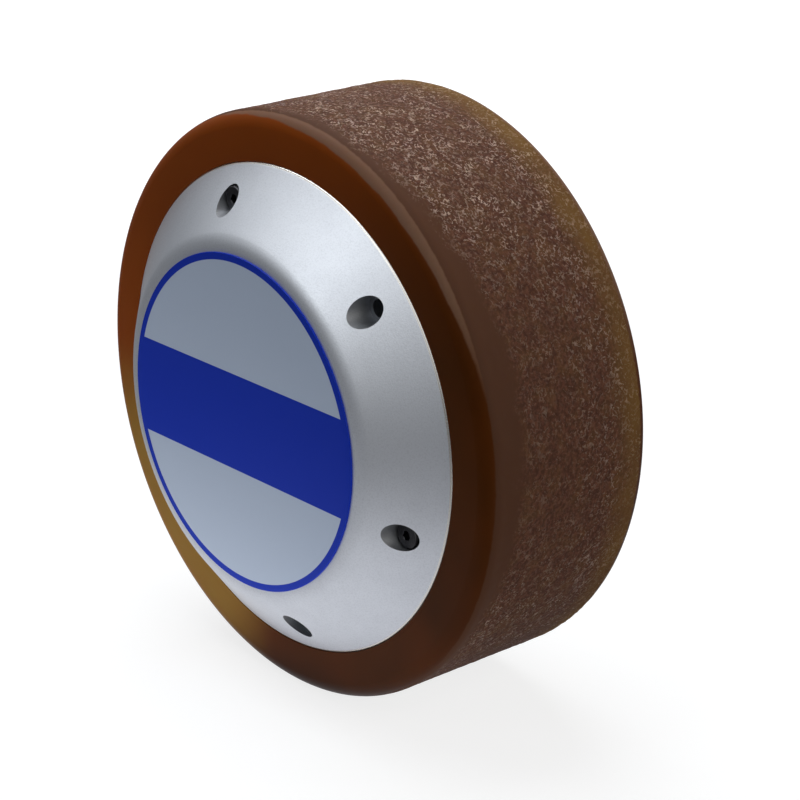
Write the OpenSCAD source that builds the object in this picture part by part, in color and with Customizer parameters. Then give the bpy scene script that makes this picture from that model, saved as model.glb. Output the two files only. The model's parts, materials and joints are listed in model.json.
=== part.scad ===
// Robot drive wheel: a hub servo motor that carries a cast polyurethane tyre.
// The axle and the wound stator stand still. The magnet drum, the covers and the tyre turn on two bearings.
// Millimetres. The axle runs along Y with its mounting stub at +Y, Z is up, and the origin is the
// centre of the axle's mounting shoulder.

/* [Tyre] */
// Outer diameter of the tyre
tyre_d = 165; // [158:1:176]
// Width of the tyre across its side faces
tyre_w = 58; // [54:1:64]
// Radius of the tyre's shoulders
shoulder_r = 4.7; // [2:0.1:8]
// Distance from the mounting shoulder to the tyre's middle plane
wheel_offset = 36.5; // [36:0.5:44]

/* [Hub drum] */
// How much thicker the drum's wall is than the tyre cast on it
wall_excess = 0.5; // [-5:0.5:5]
// Length of the drum
drum_w = 50; // [48:1:53]
// Number of keying grooves that hold the cast tyre
key_groove_count = 4; // [2:1:6]
// Width of a keying groove
key_groove_w = 3; // [2:0.5:5]
// Depth of a keying groove
key_groove_depth = 1.2; // [0.6:0.1:2]
// Thickness of the steel ring behind the magnets
yoke_t = 5; // [4:0.5:6]
// Length of the steel ring
yoke_w = 36; // [35:0.5:38]

/* [Front cover] */
// Diameter of the flat face that carries the label
face_d = 94.3; // [80:0.5:98]
// Radius of the bend between the flat face and the cone
face_bend_r = 8.2; // [3:0.2:12]
// Slope of the cone, from the flat face
cone_angle = 37; // [30:1:42]
// Thickness of the cover behind its flat face and its cone
cover_t = 4; // [3:0.5:5]
// Thickness of both covers at their outer edge
rim_t = 4.9; // [4.5:0.1:6]
// Gap between a cover's edge and the tyre
rim_gap = 0.4; // [0.2:0.1:0.8]
// Depth of the spigot that centres a cover in the drum
spigot_depth = 4; // [3.5:0.5:5]
// Radial wall of the spigot
spigot_t = 4; // [3:0.5:5]
// Bare edge of the flat face round the label
label_margin = 0.1; // [0.1:0.1:3]
// Thickness of the label
label_t = 0.5; // [0.2:0.1:1]

/* [Cover screws] */
// Number of screw holes in each cover
screw_count = 6; // [4:1:8]
// Every so many front holes one has a screw, and the rest are threaded to push the cover off
front_screw_step = 2; // [1:1:2]
// Thread of those other holes
jack_d = 5; // [3.5:0.5:6]
// Distance of the screws' circle from the drum's bore
screw_inset = 4.4; // [3.4:0.1:7]
// Angle of the first screw
screw_angle = 16.7; // [0:0.1:60]
// Nominal diameter of the cover screws
screw_d = 4; // [3:0.5:5]
// Length of the front screws under the head
screw_length = 16; // [10:1:20]
// Play between a screw's head and the wall of its pocket
pocket_play = 0.5; // [0.3:0.1:1]
// Metal left under a front screw's head
pocket_floor = 7.5; // [5:0.1:8.5]
// Length of the rear screws under the head
rear_screw_length = 12; // [8:1:16]
// Metal left under a rear screw's head
rear_pocket_floor = 2.5; // [2:0.1:3]

/* [Rear cover] */
// Slope of the rear cover's disc
rear_angle = 5; // [2:0.5:7]
// Thickness of the rear cover's disc beside its hub
rear_t = 5; // [4:0.5:6]
// Outer diameter of the rear cover's hub
hub_d = 60; // [57:1:70]
// Gap between the hub's end face and the mounting shoulder's plane
hub_gap = 1.5; // [0.8:0.1:2.5]

/* [Stator] */
// Outer diameter of the stator
stator_d = 92.8; // [90:0.4:94.4]
// Length of the lamination stack
stack_w = 30; // [26:1:32]
// Number of stator teeth, three phases of equal size
tooth_count = 27; // [24:3:27]
// Width of a stator tooth
tooth_w = 4.2; // [3.6:0.1:4.6]
// Radial thickness of the ring behind the teeth
back_iron_t = 4; // [3:0.5:5]
// Gap between the stack and the rear bearing's boss inside it
boss_gap = 1.5; // [1:0.1:2.5]
// Radial thickness of a tooth's tip
tip_t = 1.8; // [1.2:0.1:2.4]
// Width of the opening between two tooth tips
slot_opening = 2; // [1.4:0.1:3]
// Thickness of the insulating end plates
end_plate_t = 1.2; // [0.8:0.1:1.6]
// Thickness of a coil's winding
coil_t = 2.4; // [1.4:0.1:2.8]
// Space between a tooth and its coil
coil_gap = 0.35; // [0.2:0.05:0.5]

/* [Magnets] */
// Number of magnets
magnet_count = 30; // [20:2:34]
// Thickness of a magnet
magnet_t = 3; // [2:0.25:3.5]
// Length of a magnet
magnet_w = 34; // [30:0.5:35]
// Air gap between the stator and the magnets
air_gap = 0.6; // [0.4:0.1:1]

/* [Axle] */
// Diameter of the mounting stub
stub_d = 20; // [16:0.5:22]
// Length of the mounting stub
stub_length = 36; // [28:1:50]
// Length of the stub's round seat, before its flats
seat_length = 12; // [8:1:20]
// Depth of each of the stub's two flats
flat_depth = 2; // [1:0.25:3]
// How much smaller the radius of the flatted end is than the seat's
tip_step = 0.25; // [0.2:0.05:0.5]
// Diameter of the cable bore
cable_bore = 9; // [7:0.5:10]
// Diameter of the bore that leads the encoder's wires to the cable bore
wire_bore = 6; // [4:0.5:7]
// Diameter of the window where the wires enter the axle
window_d = 5.6; // [4:0.2:6]
// Diameter of the axle's seat for the stator carrier
carrier_seat_d = 28; // [26:0.5:30]
// Height of the collar above that seat, which the carrier stops against
collar_step = 2; // [1.5:0.25:3.5]
// Width of that collar
collar_w = 7; // [6.5:0.5:8]
// Length of the stator carrier's hub
carrier_hub_w = 20; // [18:0.5:21]

/* [Rear bearing] */
// Bore of the rear bearing
rear_bore = 25; // [23:0.5:26]
// Outer diameter of the rear bearing
rear_od = 47; // [46:0.5:49]
// Width of the rear bearing
rear_w = 12; // [11:0.5:13]
// Ball diameter of the rear bearing
rear_ball_d = 6.35; // [5.5:0.05:6.8]
// Number of balls in the rear bearing
rear_ball_count = 10; // [7:1:12]

/* [Front bearing] */
// Bore of the front bearing
front_bore = 17; // [15:0.5:18]
// Outer diameter of the front bearing
front_od = 35; // [34:0.5:37]
// Width of the front bearing
front_w = 10; // [9:0.5:11]
// Ball diameter of the front bearing
front_ball_d = 4.76; // [4:0.04:5.2]
// Number of balls in the front bearing
front_ball_count = 10; // [7:1:12]

/* [Shaft seal] */
// Outer diameter of the shaft seal
seal_od = 35; // [33:0.5:38]
// Width of the shaft seal
seal_w = 7; // [5:0.5:7]

/* [Encoder] */
// Room for the encoder between the front cover and the front bearing
encoder_room = 9.5; // [9:0.1:12]
// Diameter of the encoder's magnet
encoder_magnet_d = 6; // [4:0.5:8]
// Thickness of the encoder's magnet
encoder_magnet_t = 2.5; // [2:0.1:3]
// Gap between the encoder's magnet and its sensor
encoder_gap = 1; // [0.5:0.1:1.5]
// Diameter of the encoder's board
encoder_board_d = 22; // [18:0.5:26]
// Thickness of both circuit boards
board_t = 1.6; // [1:0.2:2]

/* [Hidden] */
$fn = 128;

// Clearances
thread_clear = 0.05;
hole_clear = 0.2;
spigot_clear = 0.05;
ball_clear = 0.02;
lip_clear = 0.05;
cage_clear = 0.1;
seal_clear = 0.1;
edge_break = 0.3;

// Planes across the axle, from the front to the rear
mid_y = -wheel_offset;
drum_front_y = mid_y - drum_w / 2;
drum_rear_y = mid_y + drum_w / 2;
rim_front_y = drum_front_y - rim_t;
rim_rear_y = drum_rear_y + rim_t;
stack_front_y = mid_y - stack_w / 2;
stack_rear_y = mid_y + stack_w / 2;
plate_front_y = stack_front_y - end_plate_t;
hub_face_y = -hub_gap;

// Wall of the rear bearing's boss
rear_boss_t = 3;

// Radii of the rotor and the stator
tyre_r = tyre_d / 2;
stator_r = stator_d / 2;
magnet_in_r = stator_r + air_gap;
yoke_in_r = magnet_in_r + magnet_t;
drum_bore_r = yoke_in_r + yoke_t;
drum_r = (tyre_r + drum_bore_r + wall_excess) / 2;
cover_r = drum_r - rim_gap;
spigot_r = drum_bore_r - spigot_clear;
stack_bore_r = rear_od / 2 + rear_boss_t + boss_gap;
slot_bottom_r = stack_bore_r + back_iron_t;
slot_top_r = stator_r - tip_t;
slot_step = 360 / tooth_count;

// Front cover
head_r = 0.875 * screw_d;
head_h = 0.7 * screw_d;
pocket_d = 2 * (head_r + pocket_play);
label_d = face_d - 2 * label_margin;
face_r = face_d / 2;
cone_start_r = face_r + face_bend_r * sin(cone_angle);
cone_rise = (cover_r - cone_start_r) * tan(cone_angle);
face_y = rim_front_y - cone_rise - face_bend_r * (1 - cos(cone_angle));
cone_start_y = rim_front_y - cone_rise;
// The cone starts this share of the bend's arc inside it, so that the two cross cleanly
bend_lap_angle = 1.5;
bend_lap = face_bend_r * (1 - cos(bend_lap_angle));
inner_face_y = face_y + cover_t;
cone_back = cover_t / cos(cone_angle);
function inner_cone_y(r) = rim_front_y + cone_back - (cover_r - r) * tan(cone_angle);
spigot_in_r = spigot_r - spigot_t;
shell_y = max(inner_face_y, inner_cone_y(spigot_in_r));
inner_cone_r = cover_r - (rim_front_y + cone_back - inner_face_y) / tan(cone_angle);
inner_face_r = min(spigot_in_r - 0.5, inner_cone_r);

// Rings of cord in the covers' spigots
oring_d = 1.5;
front_oring_y = drum_front_y + spigot_depth / 2;
rear_oring_y = drum_rear_y - spigot_depth / 2;

// Rear cover
rear_hub_r = hub_d / 2;
function rear_cone_y(r) = rim_rear_y + (cover_r - r) * tan(rear_angle);

// Shaft seal, in the rear cover's hub
seal_front_y = hub_face_y - seal_w;
seal_run_r = rear_bore / 2;
seal_spring_r = 0.6;
seal_spring_y = seal_front_y + 0.33 * seal_w;
seal_wall = 1.2;
seal_lip_h = seal_od / 2 - seal_wall - seal_run_r;
seal_spring_at = seal_run_r + 0.52 * seal_lip_h;

// Height of the lands beside both bearings' ball tracks
race_land = 0.45;

// Rear bearing, between the axle's collar and the rear cover
seal_stop = 0.5;
rear_bearing_rear_y = seal_front_y - seal_stop;
rear_bearing_front_y = rear_bearing_rear_y - rear_w;
rear_pitch_r = (rear_bore + rear_od) / 4;
rear_pocket_r = rear_od / 2;
rear_ball_r = rear_ball_d / 2;
rear_shoulder_h = 2;
rear_circlip_t = 1.75;
rear_circlip_depth = 1.2;
rear_boss_end = 1.75;
rear_boss_front_y = rear_bearing_front_y - rear_circlip_t - rear_boss_end;
collar_front_y = rear_bearing_front_y - collar_w;

// Stator carrier
collar_r = carrier_seat_d / 2 + collar_step;
carrier_front_y = collar_front_y - carrier_hub_w;
carrier_hub_t = 4;
carrier_ring_t = 4;
carrier_ring_r = stack_bore_r;
carrier_ring_rear_y = collar_front_y - 1;
carrier_web_w = 6;
carrier_circlip_t = 1.5;
carrier_circlip_depth = 0.8;
carrier_seat_end = 1.5;
carrier_hole_count = 12;
seat_front_y = carrier_front_y - carrier_circlip_t - carrier_seat_end;

// Key between the axle and the stator carrier
key_w = 5;
key_h = 5;
key_length = 14;
key_depth = 3;
key_mid_y = collar_front_y - carrier_hub_w / 2;

// Front bearing, between the axle's front shoulder and the front cover
front_bearing_front_y = inner_face_y + encoder_room;
front_bearing_rear_y = front_bearing_front_y + front_w;
front_pitch_r = (front_bore + front_od) / 4;
front_pocket_r = front_od / 2;
front_ball_r = front_ball_d / 2;
front_boss_t = 4;
front_boss_rear_y = front_bearing_rear_y + 0.5;
front_circlip_t = 1;
front_circlip_depth = 0.5;
washer_height = 0.6;
washer_t = 0.3;
front_stop_y = front_bearing_front_y - washer_height;
front_stop_w = 2;
axle_nose = 3;
axle_front_y = front_bearing_front_y - axle_nose;
front_shoulder_h = 2.5;

// Encoder, between the axle's front end and the front cover
encoder_sensor_t = 1;
encoder_magnet_seat = 1.1;
encoder_magnet_y = inner_face_y + encoder_magnet_t - encoder_magnet_seat;
encoder_sensor_y = encoder_magnet_y + encoder_gap;
encoder_board_y = encoder_sensor_y + encoder_sensor_t;
encoder_spacer_y = encoder_board_y + board_t;
encoder_screw_r = (wire_bore + front_bore) / 4;
encoder_screw_depth = 5.5;
encoder_chip = [5, 4];

// Hall sensor board, in front of the coils
coil_end = coil_gap / 2 + coil_t;
hall_board_gap = 1.7;
hall_board_y = plate_front_y - coil_end - hall_board_gap;
hall_board_in_r = front_pocket_r + front_boss_t + 2;
hall_board_out_r = stator_r - 0.2;
hall_board_angle = 130;
hall_post_angle = 50;
hall_post_r = carrier_ring_r - carrier_ring_t / 2;
hall_post_radius = 1.65;
hall_screw_depth = 5;
hall_chip = [3, 4, 1.1];

// Small screws that hold both boards
small_screw_r = 1;
small_head_r = 1.75;
small_head_h = 1.3;

// Tip of the axle's stub
stub_r = stub_d / 2;
stub_chamfer = 1;
grommet_lip_t = 1.5;
grommet_lip_r = cable_bore / 2 + 2;
grommet_hole_r = cable_bore / 2 - 1.3;
grommet_depth = 8;

// Lays what is built along Z on the axle, so that Z runs along +Y
module on_axle() {
    rotate([-90, 0, 0]) children();
}

// A ring from radius r1 to r2, from plane y1 to y2
module ring(r1, r2, y1, y2) {
    translate([0, 0, y1]) linear_extrude(y2 - y1) difference() {
        circle(r2);
        circle(r1);
    }
}

// Copies round the axle
module around(count, start = 0) {
    for (i = [0 : count - 1]) rotate([0, 0, start + i * 360 / count]) children();
}

// A square corner's waste outside a round of radius r, with the round's centre at the origin
module corner_waste(r) {
    difference() {
        square(r + 1);
        circle(r);
    }
}

// Section of the tyre: cast on the drum and into its grooves, with round shoulders
module tyre_section() {
    half = tyre_w / 2;
    difference() {
        translate([drum_r, -half]) square([tyre_r - drum_r, tyre_w]);
        for (side = [-1, 1]) translate([tyre_r - shoulder_r, side * (half - shoulder_r)])
            scale([1, side]) corner_waste(shoulder_r);
    }
    key_grooves(0);
}

// Sections of the keying grooves, deepened outwards by a little to cut the drum
module key_grooves(extra) {
    step = drum_w / (key_groove_count + 1);
    for (i = [1 : key_groove_count])
        translate([drum_r - key_groove_depth, i * step - drum_w / 2 - key_groove_w / 2])
            square([key_groove_depth + extra, key_groove_w]);
}

module tyre() {
    color([0.36, 0.18, 0.09]) on_axle() translate([0, 0, mid_y]) rotate_extrude() tyre_section();
}

// Screw hole positions, shared by the covers, the drum and the screws
module at_screws() {
    around(screw_count, screw_angle) translate([drum_bore_r + screw_inset, 0, 0]) children();
}

// The front holes that have a screw, or with pushing = true the ones that push the cover off
module at_front_holes(pushing = false) {
    for (i = [0 : screw_count - 1]) if ((i % front_screw_step != 0) == pushing)
        rotate([0, 0, screw_angle + i * 360 / screw_count])
            translate([drum_bore_r + screw_inset, 0, 0]) children();
}

module hub_drum() {
    hole_r = screw_d / 2 + thread_clear;
    front_hole = screw_length - pocket_floor + 1.5;
    rear_hole = rear_screw_length - rear_pocket_floor + 1.5;
    color([0.72, 0.73, 0.75]) on_axle() difference() {
        translate([0, 0, mid_y]) rotate_extrude() difference() {
            translate([drum_bore_r, -drum_w / 2]) square([drum_r - drum_bore_r, drum_w]);
            key_grooves(1);
        }
        at_front_holes() translate([0, 0, drum_front_y - 1]) cylinder(r = hole_r, h = front_hole + 1);
        at_screws() translate([0, 0, drum_rear_y - rear_hole]) cylinder(r = hole_r, h = rear_hole + 1);
    }
}

module rotor_yoke() {
    chamfer = 0.6;
    color([0.42, 0.43, 0.45]) on_axle() rotate_extrude() polygon([
        [yoke_in_r, mid_y - yoke_w / 2],
        [drum_bore_r - chamfer, mid_y - yoke_w / 2],
        [drum_bore_r, mid_y - yoke_w / 2 + chamfer],
        [drum_bore_r, mid_y + yoke_w / 2 - chamfer],
        [drum_bore_r - chamfer, mid_y + yoke_w / 2],
        [yoke_in_r, mid_y + yoke_w / 2]
    ]);
}

module rotor_magnets() {
    magnet_angle = 360 / magnet_count - 1.2;
    color([0.7, 0.71, 0.74]) on_axle() around(magnet_count) rotate([0, 0, -magnet_angle / 2])
        rotate_extrude(angle = magnet_angle)
            translate([magnet_in_r, mid_y - magnet_w / 2]) square([magnet_t, magnet_w]);
}

// Section of the front cover: flat face, bend, cone, rim, spigot, shell and bearing boss
module front_cover_section() {
    boss_r = front_pocket_r + front_boss_t;
    stop_r = front_pocket_r - front_stop_w;
    polygon([
        [0, face_y],
        [face_r, face_y],
        [cone_start_r - bend_lap * sin(cone_angle), cone_start_y + bend_lap * cos(cone_angle)],
        [cover_r - edge_break, rim_front_y - edge_break * tan(cone_angle)],
        [cover_r, rim_front_y + edge_break],
        [cover_r, drum_front_y],
        [spigot_r, drum_front_y],
        [spigot_r, drum_front_y + spigot_depth - edge_break],
        [spigot_r - edge_break, drum_front_y + spigot_depth],
        [spigot_in_r, drum_front_y + spigot_depth],
        [spigot_in_r, shell_y],
        [inner_face_r, inner_face_y],
        [boss_r + 2, inner_face_y],
        [boss_r, inner_face_y + 2],
        [boss_r, front_boss_rear_y],
        [front_pocket_r + edge_break, front_boss_rear_y],
        [front_pocket_r, front_boss_rear_y - edge_break],
        [front_pocket_r, front_stop_y],
        [stop_r, front_stop_y],
        [stop_r, inner_face_y],
        [0, inner_face_y]
    ]);
    // The bend reaches only part of the way through the shell, and a little past where it meets the cone
    bend_in = 1 - min(1, 0.8 * cover_t / face_bend_r);
    bend_end = cone_angle + 3 * bend_lap_angle;
    cone_out = [sin(bend_end), -cos(bend_end)];
    corner = [tan(bend_end / 2), -1];
    translate([face_r, face_y + face_bend_r]) intersection() {
        circle(face_bend_r);
        polygon(face_bend_r * [[0, -bend_in], [0, -1.2], 1.2 * corner, 1.2 * cone_out, bend_in * cone_out]);
    }
}

// A ring groove in a cover's spigot, around the plane y, and the ring of cord that it holds
module oring_groove(y) {
    translate([spigot_r - oring_d + spigot_clear, y - 0.95]) square([oring_d + 1, 1.9]);
}
module oring(y) {
    translate([0, 0, y]) rotate_extrude() translate([drum_bore_r - oring_d / 2, 0]) circle(oring_d / 2);
}

module front_cover() {
    color([0.78, 0.8, 0.83]) on_axle() difference() {
        rotate_extrude() difference() {
            front_cover_section();
            oring_groove(front_oring_y);
        }
        at_screws() translate([0, 0, face_y - 1])
            cylinder(d = pocket_d, h = drum_front_y - pocket_floor - face_y + 1);
        at_front_holes() translate([0, 0, face_y])
            cylinder(r = screw_d / 2 + hole_clear, h = cone_rise + drum_w / 2);
        at_front_holes(pushing = true) translate([0, 0, face_y])
            cylinder(d = jack_d, h = cone_rise + drum_w / 2);
        translate([0, 0, inner_face_y - encoder_magnet_seat])
            cylinder(r = encoder_magnet_d / 2 + thread_clear, h = encoder_magnet_seat + 1);
    }
}

module front_label() {
    color([0.88, 0.9, 0.93]) on_axle()
        translate([0, 0, face_y - label_t]) cylinder(d = label_d, h = label_t);
}

// A socket head screw, head towards -Z, with its seat at the origin
module cap_screw(d, length, head_r, head_h, socket_w, socket_depth) {
    chamfer = 0.1 * d;
    difference() {
        rotate_extrude() polygon([
            [0, -head_h], [head_r - chamfer, -head_h], [head_r, chamfer - head_h], [head_r, 0],
            [d / 2, 0], [d / 2, length - chamfer], [d / 2 - chamfer, length], [0, length]
        ]);
        translate([0, 0, -head_h - 1]) cylinder(d = socket_w / cos(30), h = socket_depth + 1, $fn = 6);
    }
}

// A small screw for a board, of the length under its head
module small_screw(length) {
    cap_screw(2 * small_screw_r, length, small_head_r, small_head_h, small_head_h, 0.6 * small_head_h);
}

module front_cover_screws() {
    color([0.1, 0.1, 0.11]) on_axle() at_front_holes() translate([0, 0, drum_front_y - pocket_floor])
        cap_screw(screw_d, screw_length, head_r, head_h, 0.625 * screw_d, 0.6 * head_h);
}

module front_cover_oring() {
    color([0.08, 0.08, 0.08]) on_axle() oring(front_oring_y);
}

// Section of the rear cover: rim, shallow cone, hub with seal bore, bearing pocket and spigot
module rear_cover_section() {
    hub_foot = 3;
    boss_r = rear_pocket_r + rear_boss_t;
    stop_r = rear_pocket_r - 3;
    seal_r = seal_od / 2;
    inner_y = rear_cone_y(boss_r) - rear_t;
    groove_front_y = rear_bearing_front_y - rear_circlip_t;
    polygon([
        [cover_r, drum_rear_y],
        [cover_r, rim_rear_y - edge_break],
        [cover_r - edge_break, rear_cone_y(cover_r - edge_break)],
        [rear_hub_r + hub_foot, rear_cone_y(rear_hub_r + hub_foot)],
        [rear_hub_r, (rear_cone_y(rear_hub_r + hub_foot) + hub_face_y) / 2],
        [rear_hub_r, hub_face_y - edge_break],
        [rear_hub_r - edge_break, hub_face_y],
        [seal_r + edge_break, hub_face_y],
        [seal_r, hub_face_y - edge_break],
        [seal_r, seal_front_y],
        [min(stop_r, seal_r), seal_front_y],
        [min(stop_r, seal_r), rear_bearing_rear_y],
        [rear_pocket_r, rear_bearing_rear_y],
        [rear_pocket_r, rear_bearing_front_y],
        [rear_pocket_r + rear_circlip_depth, rear_bearing_front_y],
        [rear_pocket_r + rear_circlip_depth, groove_front_y],
        [rear_pocket_r, groove_front_y],
        [rear_pocket_r, rear_boss_front_y],
        [boss_r, rear_boss_front_y],
        [boss_r, inner_y - 2],
        [boss_r + 2, inner_y],
        [spigot_in_r, inner_y],
        [spigot_in_r, drum_rear_y - spigot_depth],
        [spigot_r - edge_break, drum_rear_y - spigot_depth],
        [spigot_r, drum_rear_y - spigot_depth + edge_break],
        [spigot_r, drum_rear_y]
    ]);
}

module rear_cover() {
    seat_y = drum_rear_y + rear_pocket_floor;
    color([0.78, 0.8, 0.83]) on_axle() difference() {
        rotate_extrude() difference() {
            rear_cover_section();
            oring_groove(rear_oring_y);
        }
        at_screws() translate([0, 0, seat_y]) cylinder(d = pocket_d, h = hub_d);
        at_screws() translate([0, 0, drum_rear_y - 1]) cylinder(r = screw_d / 2 + hole_clear, h = hub_d);
    }
}

module rear_cover_screws() {
    color([0.1, 0.1, 0.11]) on_axle() at_screws() translate([0, 0, drum_rear_y + rear_pocket_floor])
        mirror([0, 0, 1])
            cap_screw(screw_d, rear_screw_length, head_r, 0.55 * screw_d, 0.625 * screw_d, 0.35 * screw_d);
}

module rear_cover_oring() {
    color([0.08, 0.08, 0.08]) on_axle() oring(rear_oring_y);
}

// Section of the shaft seal: outer wall, rear wall, main lip with its spring groove, dust lip
module shaft_seal_section() {
    web_y = hub_face_y - seal_wall;
    dust_lip_h = 0.25 * seal_lip_h;
    main_lip_h = 0.6 * seal_lip_h;
    difference() {
        polygon([
            [seal_od / 2, seal_front_y],
            [seal_od / 2, hub_face_y],
            [seal_run_r + lip_clear + 0.5, hub_face_y],
            [seal_run_r + lip_clear, hub_face_y - 0.3],
            [seal_run_r + dust_lip_h, web_y],
            [seal_run_r + dust_lip_h, seal_spring_y + 0.9],
            [seal_run_r + lip_clear, seal_spring_y],
            [seal_run_r + dust_lip_h, seal_spring_y - 1.1],
            [seal_run_r + main_lip_h, seal_spring_y - 1.1],
            [seal_run_r + main_lip_h, seal_spring_y + 0.5],
            [seal_run_r + 0.5 * seal_lip_h, seal_spring_y + 1.2],
            [seal_run_r + 0.5 * seal_lip_h, web_y],
            [seal_od / 2 - seal_wall, web_y],
            [seal_od / 2 - seal_wall, seal_front_y]
        ]);
        translate([seal_spring_at, seal_spring_y]) circle(seal_spring_r);
    }
}

module shaft_seal() {
    color([0.12, 0.11, 0.11]) on_axle() rotate_extrude() shaft_seal_section();
}

module shaft_seal_spring() {
    color([0.7, 0.7, 0.72]) on_axle() rotate_extrude()
        translate([seal_spring_at, seal_spring_y]) circle(seal_spring_r);
}

// Deep groove ball bearing parts, each from its front plane y
module outer_ring(outer_r, pitch_r, ball_r, y, w) {
    land_r = pitch_r + (1 - race_land) * ball_r + race_land;
    rotate_extrude() difference() {
        translate([land_r, y]) square([outer_r - land_r, w]);
        translate([pitch_r, y + w / 2]) circle(ball_r + ball_clear);
    }
}
module inner_ring(bore_r, pitch_r, ball_r, y, w) {
    land_r = pitch_r - (1 - race_land) * ball_r - race_land;
    rotate_extrude() difference() {
        translate([bore_r, y]) square([land_r - bore_r, w]);
        translate([pitch_r, y + w / 2]) circle(ball_r + ball_clear);
    }
}
module balls(pitch_r, ball_r, count, y, w) {
    translate([0, 0, y + w / 2]) around(count) translate([pitch_r, 0, 0]) sphere(ball_r);
}
module cage(pitch_r, ball_r, count, y, w) {
    half_t = 0.3 * ball_r;
    half_w = 1.2 * ball_r;
    difference() {
        ring(pitch_r - half_t, pitch_r + half_t, y + w / 2 - half_w, y + w / 2 + half_w);
        translate([0, 0, y + w / 2]) around(count) rotate([0, 90, 0]) translate([0, 0, pitch_r - ball_r])
            cylinder(r = ball_r + cage_clear, h = 2 * ball_r);
    }
}
module bearing_seals(pitch_r, ball_r, y, w) {
    out_r = pitch_r + (1 - race_land) * ball_r + race_land;
    in_r = pitch_r - (1 - race_land) * ball_r - race_land + seal_clear;
    seal_t = 0.8;
    ring(in_r, out_r, y + 0.2, y + 0.2 + seal_t);
    ring(in_r, out_r, y + w - 0.2 - seal_t, y + w - 0.2);
}

module front_bearing_outer_ring() {
    color([0.62, 0.64, 0.67]) on_axle()
        outer_ring(front_pocket_r, front_pitch_r, front_ball_r, front_bearing_front_y, front_w);
}
module front_bearing_inner_ring() {
    color([0.62, 0.64, 0.67]) on_axle()
        inner_ring(front_bore / 2, front_pitch_r, front_ball_r, front_bearing_front_y, front_w);
}
module front_bearing_balls() {
    color([0.8, 0.81, 0.84]) on_axle()
        balls(front_pitch_r, front_ball_r, front_ball_count, front_bearing_front_y, front_w);
}
module front_bearing_cage() {
    color([0.75, 0.6, 0.3]) on_axle()
        cage(front_pitch_r, front_ball_r, front_ball_count, front_bearing_front_y, front_w);
}
module front_bearing_seals() {
    color([0.15, 0.15, 0.16]) on_axle()
        bearing_seals(front_pitch_r, front_ball_r, front_bearing_front_y, front_w);
}
module rear_bearing_outer_ring() {
    color([0.62, 0.64, 0.67]) on_axle()
        outer_ring(rear_pocket_r, rear_pitch_r, rear_ball_r, rear_bearing_front_y, rear_w);
}
module rear_bearing_inner_ring() {
    color([0.62, 0.64, 0.67]) on_axle()
        inner_ring(rear_bore / 2, rear_pitch_r, rear_ball_r, rear_bearing_front_y, rear_w);
}
module rear_bearing_balls() {
    color([0.8, 0.81, 0.84]) on_axle()
        balls(rear_pitch_r, rear_ball_r, rear_ball_count, rear_bearing_front_y, rear_w);
}
module rear_bearing_cage() {
    color([0.75, 0.6, 0.3]) on_axle()
        cage(rear_pitch_r, rear_ball_r, rear_ball_count, rear_bearing_front_y, rear_w);
}
module rear_bearing_seals() {
    color([0.15, 0.15, 0.16]) on_axle()
        bearing_seals(rear_pitch_r, rear_ball_r, rear_bearing_front_y, rear_w);
}

// Wave washer: a thin ring that rises and falls three times, loading the front bearing
module bearing_preload_washer() {
    steps = 72;
    waves = 3;
    r1 = front_pocket_r - front_stop_w + 0.2;
    r2 = front_pocket_r - 0.2;
    swing = (washer_height - washer_t) / 2;
    mid = front_stop_y + washer_height / 2;
    rise = [for (i = [0 : steps - 1]) mid + swing * cos(waves * i * 360 / steps)];
    points = [for (i = [0 : steps - 1]) let (a = i * 360 / steps)
        for (corner = [[r1, -1], [r2, -1], [r2, 1], [r1, 1]])
            [corner[0] * cos(a), corner[0] * sin(a), rise[i] + corner[1] * washer_t / 2]];
    faces = [for (i = [0 : steps - 1]) for (k = [0 : 3])
        let (a = 4 * i + k, b = 4 * i + (k + 1) % 4, c = 4 * ((i + 1) % steps) + (k + 1) % 4,
             d = 4 * ((i + 1) % steps) + k)
        for (face = [[a, c, b], [a, d, c]]) face];
    color([0.6, 0.61, 0.63]) on_axle() polyhedron(points, faces);
}

// A retaining ring's outline: a ring open at one side, with two eyes for the pliers
module circlip_outline(r1, r2, eye_r, eye_at, opening) {
    eye_angle = asin((opening / 2 + eye_r) / eye_at);
    difference() {
        union() {
            difference() {
                circle(r2);
                circle(r1);
            }
            for (side = [-1, 1]) rotate([0, 0, side * eye_angle]) translate([eye_at, 0]) circle(eye_r);
        }
        translate([0, -opening / 2]) square([2 * r2, opening]);
        for (side = [-1, 1]) rotate([0, 0, side * eye_angle]) translate([eye_at, 0]) circle(0.45 * eye_r);
    }
}

module rear_bearing_circlip() {
    r2 = rear_pocket_r + rear_circlip_depth - 0.1;
    r1 = rear_pocket_r - 2.2;
    color([0.25, 0.25, 0.27]) on_axle() rotate([0, 0, 90])
        translate([0, 0, rear_bearing_front_y - rear_circlip_t]) linear_extrude(rear_circlip_t)
            circlip_outline(r1, r2, 2.4, r1 + 0.4, 4);
}

module front_axle_circlip() {
    r1 = front_bore / 2 - front_circlip_depth + 0.05;
    r2 = front_bore / 2 + 1.4;
    color([0.25, 0.25, 0.27]) on_axle() rotate([0, 0, -90])
        translate([0, 0, front_bearing_front_y - front_circlip_t]) linear_extrude(front_circlip_t)
            circlip_outline(r1, r2, 1.3, r2 - 0.3, 2);
}

module carrier_circlip() {
    r1 = carrier_seat_d / 2 - carrier_circlip_depth + 0.05;
    r2 = carrier_seat_d / 2 + 1.8;
    color([0.25, 0.25, 0.27]) on_axle() rotate([0, 0, -90])
        translate([0, 0, carrier_front_y - carrier_circlip_t]) linear_extrude(carrier_circlip_t)
            circlip_outline(r1, r2, 1.7, r2 - 0.2, 3);
}

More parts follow.
